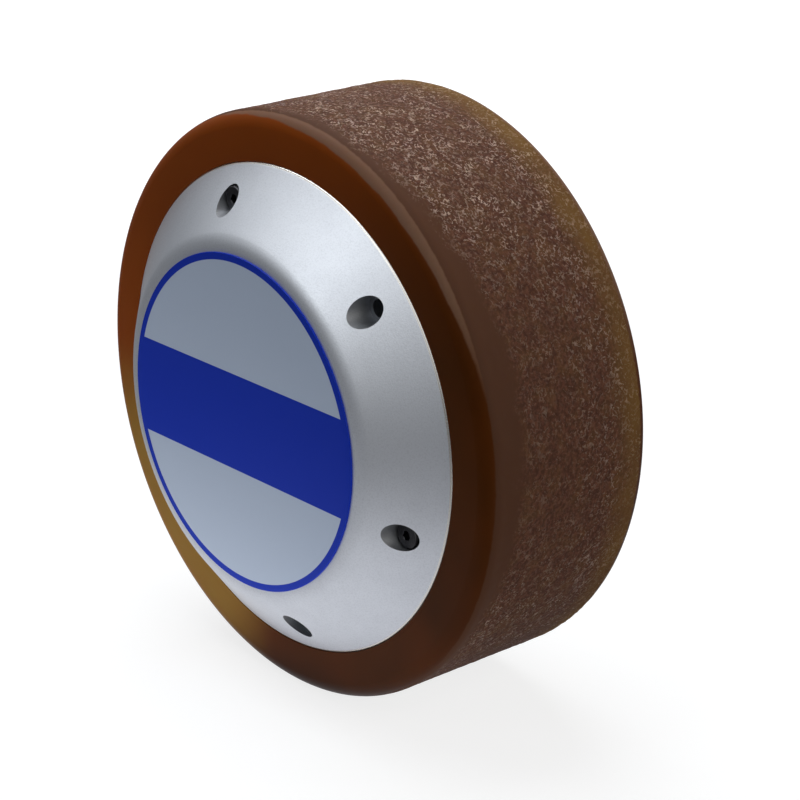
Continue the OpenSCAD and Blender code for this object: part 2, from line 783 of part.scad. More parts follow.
// Key between the axle and the stator carrier, with round ends, on top of the axle
module key_outline() {
    square([key_length - key_w, key_w], center = true);
    for (side = [-1, 1]) translate([side * (key_length - key_w) / 2, 0]) circle(d = key_w);
}
module axle_key() {
    color([0.5, 0.5, 0.52]) translate([0, key_mid_y, carrier_seat_d / 2 - key_depth])
        rotate([0, 0, 90]) linear_extrude(key_h) key_outline();
}

// Section of the axle, from its front end to the tip of the stub
module axle_section() {
    front_r = front_bore / 2;
    seat_r = carrier_seat_d / 2;
    rear_r = rear_bore / 2;
    groove_front_y = front_bearing_front_y - front_circlip_t;
    groove_seat_y = carrier_front_y - carrier_circlip_t;
    bore_change_y = collar_front_y - 2;
    polygon([
        [wire_bore / 2, axle_front_y],
        [front_r - edge_break, axle_front_y],
        [front_r, axle_front_y + edge_break],
        [front_r, groove_front_y],
        [front_r - front_circlip_depth, groove_front_y],
        [front_r - front_circlip_depth, front_bearing_front_y],
        [front_r, front_bearing_front_y],
        [front_r, front_bearing_rear_y],
        [front_r + front_shoulder_h, front_bearing_rear_y],
        [front_r + front_shoulder_h, seat_front_y],
        [seat_r - edge_break, seat_front_y],
        [seat_r, seat_front_y + edge_break],
        [seat_r, groove_seat_y],
        [seat_r - carrier_circlip_depth, groove_seat_y],
        [seat_r - carrier_circlip_depth, carrier_front_y],
        [seat_r, carrier_front_y],
        [seat_r, collar_front_y],
        [collar_r - edge_break, collar_front_y],
        [collar_r, collar_front_y + edge_break],
        [collar_r, rear_bearing_front_y - rear_shoulder_h],
        [rear_r + rear_shoulder_h, rear_bearing_front_y],
        [rear_r, rear_bearing_front_y],
        [rear_r, -edge_break],
        [rear_r - edge_break, 0],
        [stub_r, 0],
        [stub_r, seat_length],
        [stub_r - tip_step, seat_length + tip_step],
        [stub_r - tip_step, stub_length - stub_chamfer],
        [stub_r - tip_step - stub_chamfer, stub_length],
        [cable_bore / 2, stub_length],
        [cable_bore / 2, bore_change_y + (cable_bore - wire_bore) / 2],
        [wire_bore / 2, bore_change_y]
    ]);
}

module axle() {
    window_y = (collar_front_y + rear_bearing_front_y) / 2;
    color([0.66, 0.67, 0.69]) difference() {
        on_axle() rotate_extrude() axle_section();
        for (side = [-1, 1]) translate([side * (stub_d - flat_depth), seat_length + stub_length / 2, 0])
            cube([stub_d, stub_length, 2 * stub_d], center = true);
        translate([0, window_y, -2 * collar_r]) cylinder(d = window_d, h = 2 * collar_r);
        translate([0, key_mid_y, carrier_seat_d / 2 - key_depth]) rotate([0, 0, 90])
            linear_extrude(key_h) key_outline();
        on_axle() around(2) translate([encoder_screw_r, 0, axle_front_y - 1])
            cylinder(r = small_screw_r + thread_clear, h = encoder_screw_depth + 1.5);
    }
}

// Spider that carries the stack: hub with keyway, web with holes, outer ring
module stator_carrier() {
    hub_r = carrier_seat_d / 2 + carrier_hub_t;
    ring_in_r = carrier_ring_r - carrier_ring_t;
    web_front_y = (stack_front_y + carrier_ring_rear_y - carrier_web_w) / 2;
    hole_r = 0.38 * (ring_in_r - hub_r);
    color([0.7, 0.71, 0.72]) difference() {
        on_axle() {
            ring(carrier_seat_d / 2, hub_r, carrier_front_y, collar_front_y);
            ring(ring_in_r, carrier_ring_r, stack_front_y, carrier_ring_rear_y);
            difference() {
                ring(hub_r - 1, ring_in_r + 1, web_front_y, web_front_y + carrier_web_w);
                around(carrier_hole_count, 180 / carrier_hole_count)
                    translate([(hub_r + ring_in_r) / 2, 0, web_front_y - carrier_web_w / 2])
                        cylinder(r = hole_r, h = 2 * carrier_web_w);
            }
        }
        translate([-key_w / 2, carrier_front_y - 1, 0])
            cube([key_w, carrier_hub_w + 2, carrier_seat_d / 2 + key_h - key_depth + 0.2]);
        on_axle() hall_posts() translate([0, 0, stack_front_y - 1])
            cylinder(r = small_screw_r + thread_clear, h = hall_screw_depth + 2);
    }
}

// Outline of a lamination: ring, teeth and tips
module tooth_ring(count) {
    half_pitch = 180 / count;
    difference() {
        circle(slot_bottom_r);
        circle(stack_bore_r);
    }
    around(count) translate([slot_bottom_r - 1, -tooth_w / 2])
        square([slot_top_r + 0.5 * tip_t - slot_bottom_r + 1, tooth_w]);
    difference() {
        circle(stator_r);
        circle(slot_top_r);
        around(count, half_pitch) translate([0, -slot_opening / 2]) square([stator_r + 1, slot_opening]);
    }
}

module stator_core() {
    color([0.35, 0.36, 0.38]) on_axle() translate([0, 0, stack_front_y])
        linear_extrude(stack_w) tooth_ring(tooth_count);
}

// End plate of the stack, from its plane at the origin: outline, inner wall and outer guards
module end_plate() {
    guard_h = coil_end + 0.2;
    linear_extrude(end_plate_t) tooth_ring(tooth_count);
    translate([0, 0, end_plate_t]) linear_extrude(guard_h) {
        difference() {
            circle(slot_bottom_r);
            circle(slot_bottom_r - 1);
        }
        difference() {
            circle(stator_r - 0.4);
            circle(slot_top_r + 0.2);
            around(tooth_count, 180 / tooth_count)
                translate([0, -slot_opening]) square([stator_r + 1, 2 * slot_opening]);
        }
    }
}

module slot_insulator_front() {
    color([0.85, 0.82, 0.72]) on_axle() translate([0, 0, stack_front_y]) mirror([0, 0, 1]) end_plate();
}
module slot_insulator_rear() {
    color([0.85, 0.82, 0.72]) on_axle() translate([0, 0, stack_rear_y]) end_plate();
}

// A rectangle of w by h with corners of radius r
module round_rectangle(w, h, r) {
    square([w - 2 * r, h], center = true);
    square([w, h - 2 * r], center = true);
    for (x = [-1, 1], y = [-1, 1]) translate([x * (w / 2 - r), y * (h / 2 - r)]) circle(r);
}

// One coil on the tooth along X: a frame round the tooth, cut to its share of the two slots
module coil() {
    r1 = slot_bottom_r + 1.1;
    r2 = slot_top_r - 0.4;
    in_w = tooth_w + 2 * coil_gap;
    in_h = stack_w + 2 * end_plate_t + coil_gap;
    spacing = 0.15 / sin(slot_step / 2);
    intersection() {
        translate([r1, 0, mid_y]) rotate([0, 90, 0]) linear_extrude(r2 - r1) difference() {
            round_rectangle(in_h + 2 * coil_t, in_w + 2 * coil_t, coil_t);
            round_rectangle(in_h, in_w, 0.6);
        }
        translate([spacing, 0, mid_y - stack_w]) linear_extrude(2 * stack_w) polygon([
            [0, 0],
            2 * stator_r * [cos(slot_step / 2), -sin(slot_step / 2)],
            2 * stator_r * [cos(slot_step / 2), sin(slot_step / 2)]
        ]);
    }
}

// The coils of one phase: groups of three neighbouring teeth, every third group
module phase_coils(phase) {
    on_axle() for (i = [0 : tooth_count - 1])
        if (floor(i / 3) % 3 == phase) rotate([0, 0, i * slot_step]) coil();
}
module coils_phase_u() {
    color([0.72, 0.4, 0.18]) phase_coils(0);
}
module coils_phase_v() {
    color([0.72, 0.4, 0.18]) phase_coils(1);
}
module coils_phase_w() {
    color([0.72, 0.4, 0.18]) phase_coils(2);
}

// Posts that carry the Hall sensor board on the stator carrier
module hall_posts() {
    for (a = [-hall_post_angle, 0, hall_post_angle])
        rotate([0, 0, a - 90]) translate([hall_post_r, 0, 0]) children();
}
module hall_board() {
    color([0.1, 0.35, 0.2]) on_axle() difference() {
        rotate([0, 0, -90 - hall_board_angle / 2]) rotate_extrude(angle = hall_board_angle)
            translate([hall_board_in_r, hall_board_y - board_t])
                square([hall_board_out_r - hall_board_in_r, board_t]);
        hall_posts() translate([0, 0, hall_board_y - 2 * board_t])
            cylinder(r = small_screw_r + hole_clear, h = 4 * board_t);
    }
}
module hall_sensors() {
    hall_step = 240 / magnet_count;
    chip = hall_chip;
    color([0.08, 0.08, 0.09]) on_axle() for (a = [-hall_step, 0, hall_step]) rotate([0, 0, a - 90])
        translate([hall_board_out_r - chip[0] - 0.5, -chip[1] / 2, hall_board_y]) cube(chip);
}
module hall_board_standoffs() {
    color([0.75, 0.62, 0.3]) on_axle() hall_posts() difference() {
        translate([0, 0, hall_board_y])
            cylinder(r = hall_post_radius / cos(30), h = stack_front_y - hall_board_y, $fn = 6);
        translate([0, 0, hall_board_y - 1])
            cylinder(r = small_screw_r + thread_clear, h = stack_front_y - hall_board_y + 2);
    }
}
module hall_board_screws() {
    color([0.7, 0.7, 0.72]) on_axle() hall_posts() translate([0, 0, hall_board_y - board_t])
        small_screw(stack_front_y - hall_board_y + board_t + hall_screw_depth);
}

// Encoder: board on the axle's front end, sensor chip, spacer and two screws; its magnet is in the cover
module encoder_board() {
    color([0.1, 0.35, 0.2]) on_axle() difference() {
        translate([0, 0, encoder_board_y]) cylinder(d = encoder_board_d, h = board_t);
        around(2) translate([encoder_screw_r, 0, encoder_board_y - 1])
            cylinder(r = small_screw_r + thread_clear, h = board_t + 2);
    }
}
module encoder_sensor() {
    color([0.08, 0.08, 0.09]) translate([0, encoder_sensor_y + encoder_sensor_t / 2, 0])
        cube([encoder_chip[0], encoder_sensor_t, encoder_chip[1]], center = true);
}
module encoder_spacer() {
    color([0.8, 0.8, 0.8]) on_axle() difference() {
        ring(wire_bore / 2, front_bore / 2 - edge_break, encoder_spacer_y, axle_front_y);
        around(2) translate([encoder_screw_r, 0, encoder_spacer_y - 1])
            cylinder(r = small_screw_r + thread_clear, h = axle_front_y - encoder_spacer_y + 2);
    }
}
module encoder_screws() {
    color([0.7, 0.7, 0.72]) on_axle() around(2) translate([encoder_screw_r, 0, encoder_board_y])
        small_screw(axle_front_y - encoder_board_y + encoder_screw_depth);
}
module encoder_magnet() {
    color([0.7, 0.71, 0.74]) on_axle() translate([0, 0, inner_face_y - encoder_magnet_seat])
        cylinder(d = encoder_magnet_d, h = encoder_magnet_t);
}

// Rubber bush in the stub's end, where the cable leaves
module cable_grommet() {
    color([0.1, 0.1, 0.1]) on_axle() rotate_extrude() polygon([
        [grommet_hole_r, stub_length - grommet_depth],
        [cable_bore / 2, stub_length - grommet_depth],
        [cable_bore / 2, stub_length],
        [grommet_lip_r, stub_length],
        [grommet_lip_r, stub_length + grommet_lip_t - 0.5],
        [grommet_lip_r - 0.5, stub_length + grommet_lip_t],
        [grommet_hole_r, stub_length + grommet_lip_t]
    ]);
}

tyre();
hub_drum();
rotor_yoke();
rotor_magnets();
front_cover();
front_label();
front_cover_screws();
front_cover_oring();
rear_cover();
rear_cover_screws();
rear_cover_oring();
shaft_seal();
shaft_seal_spring();
encoder_magnet();
front_bearing_outer_ring();
front_bearing_seals();
bearing_preload_washer();
rear_bearing_outer_ring();
rear_bearing_seals();
rear_bearing_circlip();
front_bearing_balls();
front_bearing_cage();
rear_bearing_balls();
rear_bearing_cage();
axle();
axle_key();
front_axle_circlip();
carrier_circlip();
front_bearing_inner_ring();
rear_bearing_inner_ring();
stator_carrier();
stator_core();
slot_insulator_front();
slot_insulator_rear();
coils_phase_u();
coils_phase_v();
coils_phase_w();
hall_board();
hall_sensors();
hall_board_standoffs();
hall_board_screws();
encoder_board();
encoder_sensor();
encoder_spacer();
encoder_screws();
cable_grommet();
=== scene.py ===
import json
import math

import bmesh
import bpy
from mathutils import Matrix, Vector, noise

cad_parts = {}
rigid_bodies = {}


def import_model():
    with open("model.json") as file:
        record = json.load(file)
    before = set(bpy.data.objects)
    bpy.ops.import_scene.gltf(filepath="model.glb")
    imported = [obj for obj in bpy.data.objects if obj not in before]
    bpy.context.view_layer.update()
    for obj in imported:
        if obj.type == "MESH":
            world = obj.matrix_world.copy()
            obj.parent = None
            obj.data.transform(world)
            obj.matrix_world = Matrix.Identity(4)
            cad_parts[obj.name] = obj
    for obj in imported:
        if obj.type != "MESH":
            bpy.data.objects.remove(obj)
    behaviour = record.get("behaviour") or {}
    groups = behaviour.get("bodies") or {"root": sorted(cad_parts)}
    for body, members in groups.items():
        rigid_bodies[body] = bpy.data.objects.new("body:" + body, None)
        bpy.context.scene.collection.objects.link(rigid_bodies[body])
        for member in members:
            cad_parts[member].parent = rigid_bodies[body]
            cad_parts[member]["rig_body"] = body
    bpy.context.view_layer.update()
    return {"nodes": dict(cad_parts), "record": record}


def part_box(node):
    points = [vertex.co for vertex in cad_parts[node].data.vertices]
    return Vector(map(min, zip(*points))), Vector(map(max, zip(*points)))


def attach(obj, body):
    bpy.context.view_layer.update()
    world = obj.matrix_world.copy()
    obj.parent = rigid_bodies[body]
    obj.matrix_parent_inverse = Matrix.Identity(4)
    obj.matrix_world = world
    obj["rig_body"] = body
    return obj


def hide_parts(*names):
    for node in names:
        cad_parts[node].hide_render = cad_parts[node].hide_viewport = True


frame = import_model()
mm = 0.001  # every length in the dictionaries is in millimetres
print("frame loaded:", len(frame["nodes"]), "nodes")


# The camera, as the photograph was taken, for a square picture of 800 x 800
photoCamera = {
    "place": (518.0, -471.0, 248.6),  # where the lens stood
    "turn": 49.194,  # degrees to the left of +Y
    "drop": 20.494,  # degrees below the horizon
    "lens": 115.85, "sensor": 36,
    "nearest": 10,  # what is nearer than this isn't drawn
}
cameraData = bpy.data.cameras.new("photoCamera")
cameraData.lens = photoCamera["lens"]
cameraData.sensor_width = photoCamera["sensor"]
cameraData.clip_start = photoCamera["nearest"] * mm
camera = bpy.data.objects.new("photoCamera", cameraData)
camera.location = Vector(photoCamera["place"]) * mm
camera.rotation_euler = (math.radians(90 - photoCamera["drop"]), 0,
                         math.radians(photoCamera["turn"]))
bpy.context.scene.collection.objects.link(camera)
bpy.context.scene.camera = camera
print("camera set")


# The circle of screws that both covers share
screwCircle = {
    "count": 6, "radius": 59.4, "firstAngle": 16.7,
    "pocketRadius": 4.0, "mouth": 0.14,
    "holeRadius": 2.2, "pushRadius": 2.5, "holeDepth": 12, "reach": 40,
    "frontSeat": 7.5, "rearSeat": 2.5,  # from the drum's end to a pocket's floor
    "frontScrews": (0, 2, 4), "pushHoles": (1, 3, 5),
}


# Materials: a socket that can stand in sums, and the recipe that makes nodes
class Wire:
    def __init__(self, recipe, socket):
        self.recipe, self.socket = recipe, socket

    def math(self, operation, *values):
        return self.recipe.add("ShaderNodeMath", {"operation": operation}, *values)

    def __add__(self, other): return self.math("ADD", self, other)
    def __radd__(self, other): return self.math("ADD", other, self)
    def __sub__(self, other): return self.math("SUBTRACT", self, other)
    def __rsub__(self, other): return self.math("SUBTRACT", other, self)
    def __mul__(self, other): return self.math("MULTIPLY", self, other)
    def __rmul__(self, other): return self.math("MULTIPLY", other, self)
    def __truediv__(self, other): return self.math("DIVIDE", self, other)
    def __rtruediv__(self, other): return self.math("DIVIDE", other, self)
    def __pow__(self, other): return self.math("POWER", self, other)
    def __abs__(self): return self.math("ABSOLUTE", self)

    def over(self, other): return self.math("MAXIMUM", self, other)  # the larger of two
    def under(self, other): return self.math("MINIMUM", self, other)  # the smaller of two
    def fraction(self): return self.math("FRACT", self)
    def sine(self): return self.math("SINE", self)
    def cosine(self): return self.math("COSINE", self)
    def heading(self, other): return self.math("ARCTAN2", self, other)

    def ramp(self, low, high):  # 0 below low, 1 above high, smooth between
        return self.recipe.add("ShaderNodeMapRange", {"interpolation_type": "SMOOTHSTEP"},
                               self, low, high, 0, 1)


class Recipe:
    def __init__(self, owner, shader="Principled BSDF", **fixed):
        owner.use_nodes = True
        self.owner, self.tree = owner, owner.node_tree
        self.shader = self.tree.nodes[shader]
        for socket, value in fixed.items():  # what is the same all over the surface
            self.shader.inputs[socket.replace("_", " ")].default_value = value

    def add(self, kind, settings=None, *values, out=0, **named):
        node = self.tree.nodes.new(kind)
        for key, value in (settings or {}).items():
            setattr(node, key, value)
        for socket, value in [*enumerate(values), *named.items()]:
            name = socket if isinstance(socket, int) else socket.replace("_", " ")
            self.join(node.inputs[name], value)
        return Wire(self, node.outputs[out])

    def join(self, socket, value):
        if isinstance(value, Wire):
            self.tree.links.new(value.socket, socket)
        elif value is not None:
            plainColour = socket.type == "RGBA" and len(value) == 3
            socket.default_value = (*value, 1) if plainColour else value

    def outputs(self, wire, *names):
        sockets = wire.socket.node.outputs
        return [Wire(self, sockets[name]) for name in names or range(len(sockets))]

    def place(self):  # object coordinates in millimetres, as one vector and as x, y, z
        coordinates = self.add("ShaderNodeTexCoord", out="Object")
        scaled = self.add("ShaderNodeVectorMath", {"operation": "SCALE"}, coordinates, Scale=1 / mm)
        return scaled, self.outputs(self.add("ShaderNodeSeparateXYZ", None, scaled))

    def moved(self, vector, x, y, z):
        return self.add("ShaderNodeVectorMath", {"operation": "ADD"}, vector, (x, y, z))

    def vector(self, x, y, z):
        return self.add("ShaderNodeCombineXYZ", None, x, y, z)

    def noise(self, vector, size, detail=2, roughness=0.5):  # size in millimetres
        return self.add("ShaderNodeTexNoise", None, vector,
                        Scale=1 / size, Detail=detail, Roughness=roughness)

    def blend(self, share, first, second):  # two colours
        mixed = self.add("ShaderNodeMix", {"data_type": "RGBA"}, share, out=2)
        self.join(mixed.socket.node.inputs[6], first)
        self.join(mixed.socket.node.inputs[7], second)
        return mixed

    def bump(self, height, distance, strength=1, under=None):  # distance in millimetres
        return self.add("ShaderNodeBump", None,
                        Height=height, Distance=distance * mm, Strength=strength, Normal=under)

    def rays(self):  # camera, glossy and see-through rays
        return self.outputs(self.add("ShaderNodeLightPath"),
                            "Is Camera Ray", "Is Glossy Ray", "Is Transmission Ray")

    def surface(self, **varying):
        for socket, value in varying.items():
            self.join(self.shader.inputs[socket.replace("_", " ")], value)
        return self.owner


def newRecipe(name, **fixed):
    return Recipe(bpy.data.materials.new(name), **fixed)


def shaded(colour, share):  # a colour made darker or lighter
    return tuple(share * c for c in colour)


def castPolyurethane():
    low, high = (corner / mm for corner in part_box("tyre"))
    look = {
        "side": (0.262, 0.054, 0.0046), "shadedSide": (0.068, 0.0182, 0.0018),
        "amber": (0.29, 0.160, 0.028), "dust": (0.205, 0.115, 0.074),
        "strip": (0.092, 0.040, 0.022), "tread": (0.104, 0.044, 0.028),
        "rear": (0.185, 0.098, 0.029), "grit": (0.230, 0.140, 0.105), "fleck": (0.60, 0.455, 0.37),
        "sideGloss": 0.34, "stripGloss": 0.60, "treadGloss": 0.70,
        "shoulder": 2.7,  # from the front face to where the smooth strip begins
        "rearShoulder": 3.6,  # from the rear face to where the tread ends
        "stripWidth": 1.2, "stripSwell": 8.0,  # the strip is widest at one side
        "rearBand": 15.0,  # golden towards the rear
        "fullerFibreBand": 24,  # from here to the rear that side's fibres are only half as faint
        "dustRadius": 79.7, "dustFade": 7,  # a painted highlight: a pale line along the shoulder, where light from above catches it
        "paintedGlowRadius": 76, "paintedGlowFade": 6,  # the painted amber glow fades towards the rim
        # where round the wheel, in degrees: 0 is +X, 90 is up
        "stripAngle": 15, "fainterSideAngle": 10, "fibreHighlightAngle": 80, "dustAngle": 70, "sheenSpreadAngle": 65,
        # the next three angles place the side face's painted shade, the last its painted glow
        "sideShadeAngle": 350, "shadeAngle": 300, "darkestShadeAngle": 302, "paintedGlowAngle": 222,
        # sizes of the patterns
        "wander": 9, "ragged": 2.2, "crowd": 7, "faint": 2.6, "mottle": 1.1, "cloud": 34,
        "patch": 6, "gritSize": 0.8,
    }
    fibreLayers = (  # shift of the noise, size and half width of a fibre
        (3.1, 7.7, 1.9, 1.6, 0.055), (41.3, 17.7, 9.1, 2.1, 0.05), (23.9, 5.3, 61.7, 1.3, 0.055))
    r = newRecipe("castPolyurethane", Subsurface_Weight=0.2, Subsurface_Radius=(1.0, 0.35, 0.08),
                  Subsurface_Scale=0.004, IOR=1.49, Specular_IOR_Level=0.06)
    where, (x, y, z) = r.place()
    radius = (x * x + z * z) ** 0.5
    depth = y - low.y
    wander = r.noise(where, look["wander"], 3, 0.6) - 0.5
    ragged = r.noise(where, look["ragged"], 2, 0.6) - 0.5

    def toward(which):  # 1 at this angle round the wheel, -1 opposite
        turn = math.radians(look[which])
        return (x * math.cos(turn) + z * math.sin(turn)) / radius

    stripWidth = look["stripWidth"] + toward("stripAngle").over(0) ** 3 * look["stripSwell"]
    fromShoulder = depth - look["shoulder"]
    smooth = (fromShoulder + ragged * 0.5).ramp(-0.25, 0.25)  # 0 on the side face and the shoulder
    smooth = smooth * (1 - (y - high.y + look["rearShoulder"] + ragged * 1.6).ramp(-0.5, 0.5))
    ground = smooth * (fromShoulder - stripWidth + wander * 9 + ragged * 4).ramp(-1.5, 4.0)

    def worms(x0, y0, z0, size, width):  # short crooked fibres: pieces of a noise's contour lines
        line = abs(r.noise(r.moved(where, x0, y0, z0), size, 1, 0.45) - 0.5)
        piece = r.noise(r.moved(where, y0, z0, x0), size * 0.75, 1, 0.5)
        return (1 - line.ramp(width * 0.4, width)) * piece.ramp(0.52, 0.60)

    first, second, third = (worms(*layer) for layer in fibreLayers)
    fibres = first.over(second).over(third)
    crowd = r.noise(where, look["crowd"], 3, 0.65).ramp(0.34, 0.60)  # where they lie thick
    fainterSide = toward("fainterSideAngle").ramp(0.74, 0.95)  # fibres are fainter towards one side
    fainterSide = fainterSide * (1 - (y - high.y + look["fullerFibreBand"]).ramp(-8, 14) * 0.5)
    # painted highlight: fibres and grit are paler towards the top, where light from above catches
    # them, and fainter on one side
    fibreHighlight = (0.62 + toward("fibreHighlightAngle").ramp(-0.2, 1.0) * 0.38) * (1 - fainterSide * 0.72)
    faint = r.noise(where, look["faint"], 2, 0.6).ramp(0.34, 0.64)  # some fibres are paler
    marks = fibres * (0.32 + crowd * 0.68) * (0.30 + faint * 0.70) * ground * fibreHighlight
    mottle = r.noise(where, look["mottle"], 3, 0.65)
    cloud = r.noise(where, look["cloud"], 2)

    rear = (y - high.y + look["rearBand"] + wander * 5).ramp(0, look["rearBand"] * 0.7)
    dark, pale = shaded(look["tread"], 0.66), shaded(look["tread"], 1.42)
    tread = r.blend(mottle.ramp(0.35, 0.72), dark, pale)
    patch = r.noise(where, look["patch"], 3, 0.6).ramp(0.42, 0.72)
    tread = r.blend(patch * 0.22, tread, look["rear"])
    tread = r.blend(rear * (0.45 + cloud.ramp(0.35, 0.65) * 0.5), tread, look["rear"])
    grit = r.noise(where, look["gritSize"], 2, 0.6).ramp(0.5, 0.75) * ground * (1 - rear * 0.6)
    tread = r.blend(grit * fibreHighlight * 0.4, tread, look["grit"])
    tread = r.blend(1 - ground, tread, look["strip"])
    fleck = r.blend(rear * 0.5, look["fleck"], look["amber"])
    tread = r.blend(marks * 0.9, tread, fleck)

    # painted shade: the side face is coloured darker towards the right and lower right, where less
    # light falls
    side = r.blend(toward("sideShadeAngle").ramp(-0.12, 0.86), look["side"], look["shadedSide"])
    side = r.blend(toward("shadeAngle").ramp(0.3, 0.9) * 0.8, side, look["shadedSide"])
    side = r.blend(toward("darkestShadeAngle").ramp(0.5, 0.95) * 0.5, side, shaded(look["shadedSide"], 0.35))
    # painted glow: the side face is coloured amber towards the lower left, standing in for light
    # shining through the polyurethane
    nearRim = (radius - look["paintedGlowRadius"]).ramp(0, look["paintedGlowFade"])
    amber = toward("paintedGlowAngle").ramp(0.72, 0.95) * (1 - nearRim * 0.45)
    side = r.blend(amber, side, look["amber"])
    side = r.blend(cloud.ramp(0.3, 0.8) * 0.25, side, shaded(look["side"], 0.6))
    # painted highlight: the shoulder is coloured paler towards the top, where light from above
    # catches it
    sheenFrom = look["dustRadius"] + (1 - toward("sheenSpreadAngle")) * look["dustFade"] + wander
    dusty = (radius - sheenFrom).ramp(-0.3, 0.25) * toward("dustAngle").ramp(0.50, 0.88)
    side = r.blend(dusty * (0.75 + mottle * 0.25), side, look["dust"])
    colour = r.blend(smooth, side, tread)

    dulled = (smooth + dusty * 0.5).under(1)
    gloss = look["sideGloss"] + dulled * (look["stripGloss"] - look["sideGloss"])
    gloss = gloss + ground * (look["treadGloss"] - look["stripGloss"])
    relief = r.bump(mottle * 0.55 * ground + marks * 0.8, 0.22, 0.85)
    relief = r.bump(cloud + wander * 0.3, 0.5, 0.15, relief)
    return r.surface(Base_Color=colour, Roughness=gloss, Normal=relief)


def blastedAluminium():
    look = {
        "metal": (0.77, 0.805, 0.865), "dull": (0.62, 0.65, 0.705), "gloss": 0.41,
        "pocket": (0.22, 0.23, 0.245), "pocketGloss": 0.42,
        "edge": (0.86, 0.84, 0.79), "edgeGloss": 0.22, "edgeWidth": 0.5,
        "grain": 0.46, "patch": 13, "rings": 0.30,  # sizes of the patterns
    }
    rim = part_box("front_cover")[1].x / mm
    r = newRecipe("blastedAluminium", Metallic=0.8, Specular_IOR_Level=0.5)
    where, (x, y, z) = r.place()
    radius = (x * x + z * z) ** 0.5
    grain = r.noise(where, look["grain"], 3, 0.8)
    patch = r.noise(where, look["patch"], 3, 0.6)
    turned = r.noise(r.vector(radius, y, 0), look["rings"], 1)  # of the lathe, under the blasting
    dullness = patch.ramp(0.3, 0.8) * 0.3 + grain.ramp(0.42, 0.72) * 0.6
    colour = r.blend(dullness, look["metal"], look["dull"])
    gloss = look["gloss"] + (patch - 0.5) * 0.08 + (grain - 0.5) * 0.2

    step = 2 * math.pi / screwCircle["count"]  # painted shade: the screw pockets are coloured darker, as the recesses lie in shade
    first = math.radians(screwCircle["firstAngle"])
    turns = ((z * -1).heading(x) - first) / step + (screwCircle["count"] + 0.5)
    angle = (turns.fraction() - 0.5) * step
    across, along = radius * angle.sine(), radius * angle.cosine() - screwCircle["radius"]
    fromMiddle = (across * across + along * along) ** 0.5
    pocket = 1 - (fromMiddle - screwCircle["pocketRadius"]).ramp(-0.04, 0.06)
    edge = (radius - rim + look["edgeWidth"]).ramp(-0.12, 0.12)  # the rim was turned after blasting, so it is smoother; its paler, creamier colour is a painted highlight
    colour = r.blend(edge, r.blend(pocket, colour, look["pocket"]), look["edge"])
    gloss = gloss + pocket * (look["pocketGloss"] - look["gloss"])
    gloss = gloss + edge * (look["edgeGloss"] - look["gloss"])
    relief = r.bump((grain + turned * 0.2) * (1 - edge * 0.9), 0.05, 0.8)
    return r.surface(Base_Color=colour, Roughness=gloss, Normal=relief)


def labelFilm():
    look = {
        "white": (0.55, 0.64, 0.80), "blue": (0.0095, 0.040, 0.50), "gloss": 0.22,
        "ring": 2.0, "bandLow": -14.0, "bandHigh": 13.6, "edge": 0.05,
        "swell": 30, "peel": 1.6, "wiping": 3.5,  # sizes of the patterns
    }
    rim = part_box("front_label")[1].x / mm
    r = newRecipe("labelFilm", Specular_IOR_Level=0.09, IOR=1.5)
    where, (x, y, z) = r.place()
    radius = (x * x + z * z) ** 0.5

    def past(value, limit):  # 1 beyond the limit, with a printed edge's softness
        return value.ramp(limit - look["edge"], limit + look["edge"])

    ring = past(radius, rim - look["ring"])
    band = past(z, look["bandLow"]) * (1 - past(z, look["bandHigh"]))
    colour = r.blend(ring.over(band), look["white"], look["blue"])
    swell = r.noise(where, look["swell"], 2)
    peel = r.noise(where, look["peel"], 2)
    wiped = r.vector(x * 0.15 + z * 0.1, y, z * 1.6 - x)
    rubbed = r.noise(wiped, look["wiping"], 3, 0.7).ramp(0.45, 0.75)  # wiping marks in the film
    relief = r.bump(peel, 0.02, 0.25, r.bump(swell, 0.6, 0.3))
    return r.surface(Base_Color=colour, Roughness=look["gloss"] + rubbed * 0.05, Normal=relief)


def plainMetal(name, colour, dull, gloss, grainSize, grainDepth, streak=0.0):  # streak: as turned
    r = newRecipe(name, Metallic=1.0)
    where, (x, y, z) = r.place()
    radius = (x * x + z * z) ** 0.5
    grain = r.noise(where, grainSize, 3, 0.6)
    turned = r.noise(r.vector(radius, y, 0), grainSize * 0.6, 2, 0.6)
    shade = r.blend(grain.ramp(0.35, 0.75), colour, dull)
    rough = gloss + (grain - 0.5) * 0.2 + (turned - 0.5) * streak
    relief = r.bump(grain * (1 - streak) + turned * streak, grainDepth, 0.5)
    return r.surface(Base_Color=shade, Roughness=rough, Normal=relief)


def plainMoulding(name, colour, light, gloss, grainSize, grainDepth):
    r = newRecipe(name, IOR=1.5)
    where, (x, y, z) = r.place()
    grain = r.noise(where, grainSize, 3, 0.6)
    dust = r.noise(where, 9, 3, 0.6)
    shade = r.blend(dust.ramp(0.4, 0.8) * 0.6 + grain.ramp(0.5, 0.8) * 0.3, colour, light)
    rough = gloss + (dust - 0.5) * 0.2
    return r.surface(Base_Color=shade, Roughness=rough, Normal=r.bump(grain, grainDepth, 0.5))


def stackedLaminations():
    look = {"sheet": 0.5, "steel": (0.30, 0.31, 0.33), "rust": (0.20, 0.20, 0.21),
            "joint": (0.06, 0.06, 0.065), "gloss": 0.42}
    r = newRecipe("stackedLaminations", Metallic=0.9)
    where, (x, y, z) = r.place()
    edge = abs((y / look["sheet"]).fraction() - 0.5).ramp(0.38, 0.5)
    rust = r.noise(where, 2.4, 4, 0.6)
    shade = r.blend(rust.ramp(0.3, 0.8), look["steel"], look["rust"])
    shade = r.blend(edge * 0.8, shade, look["joint"])
    return r.surface(Base_Color=shade, Roughness=look["gloss"] + edge * 0.3,
                     Normal=r.bump(1 - edge, 0.05, 0.7))


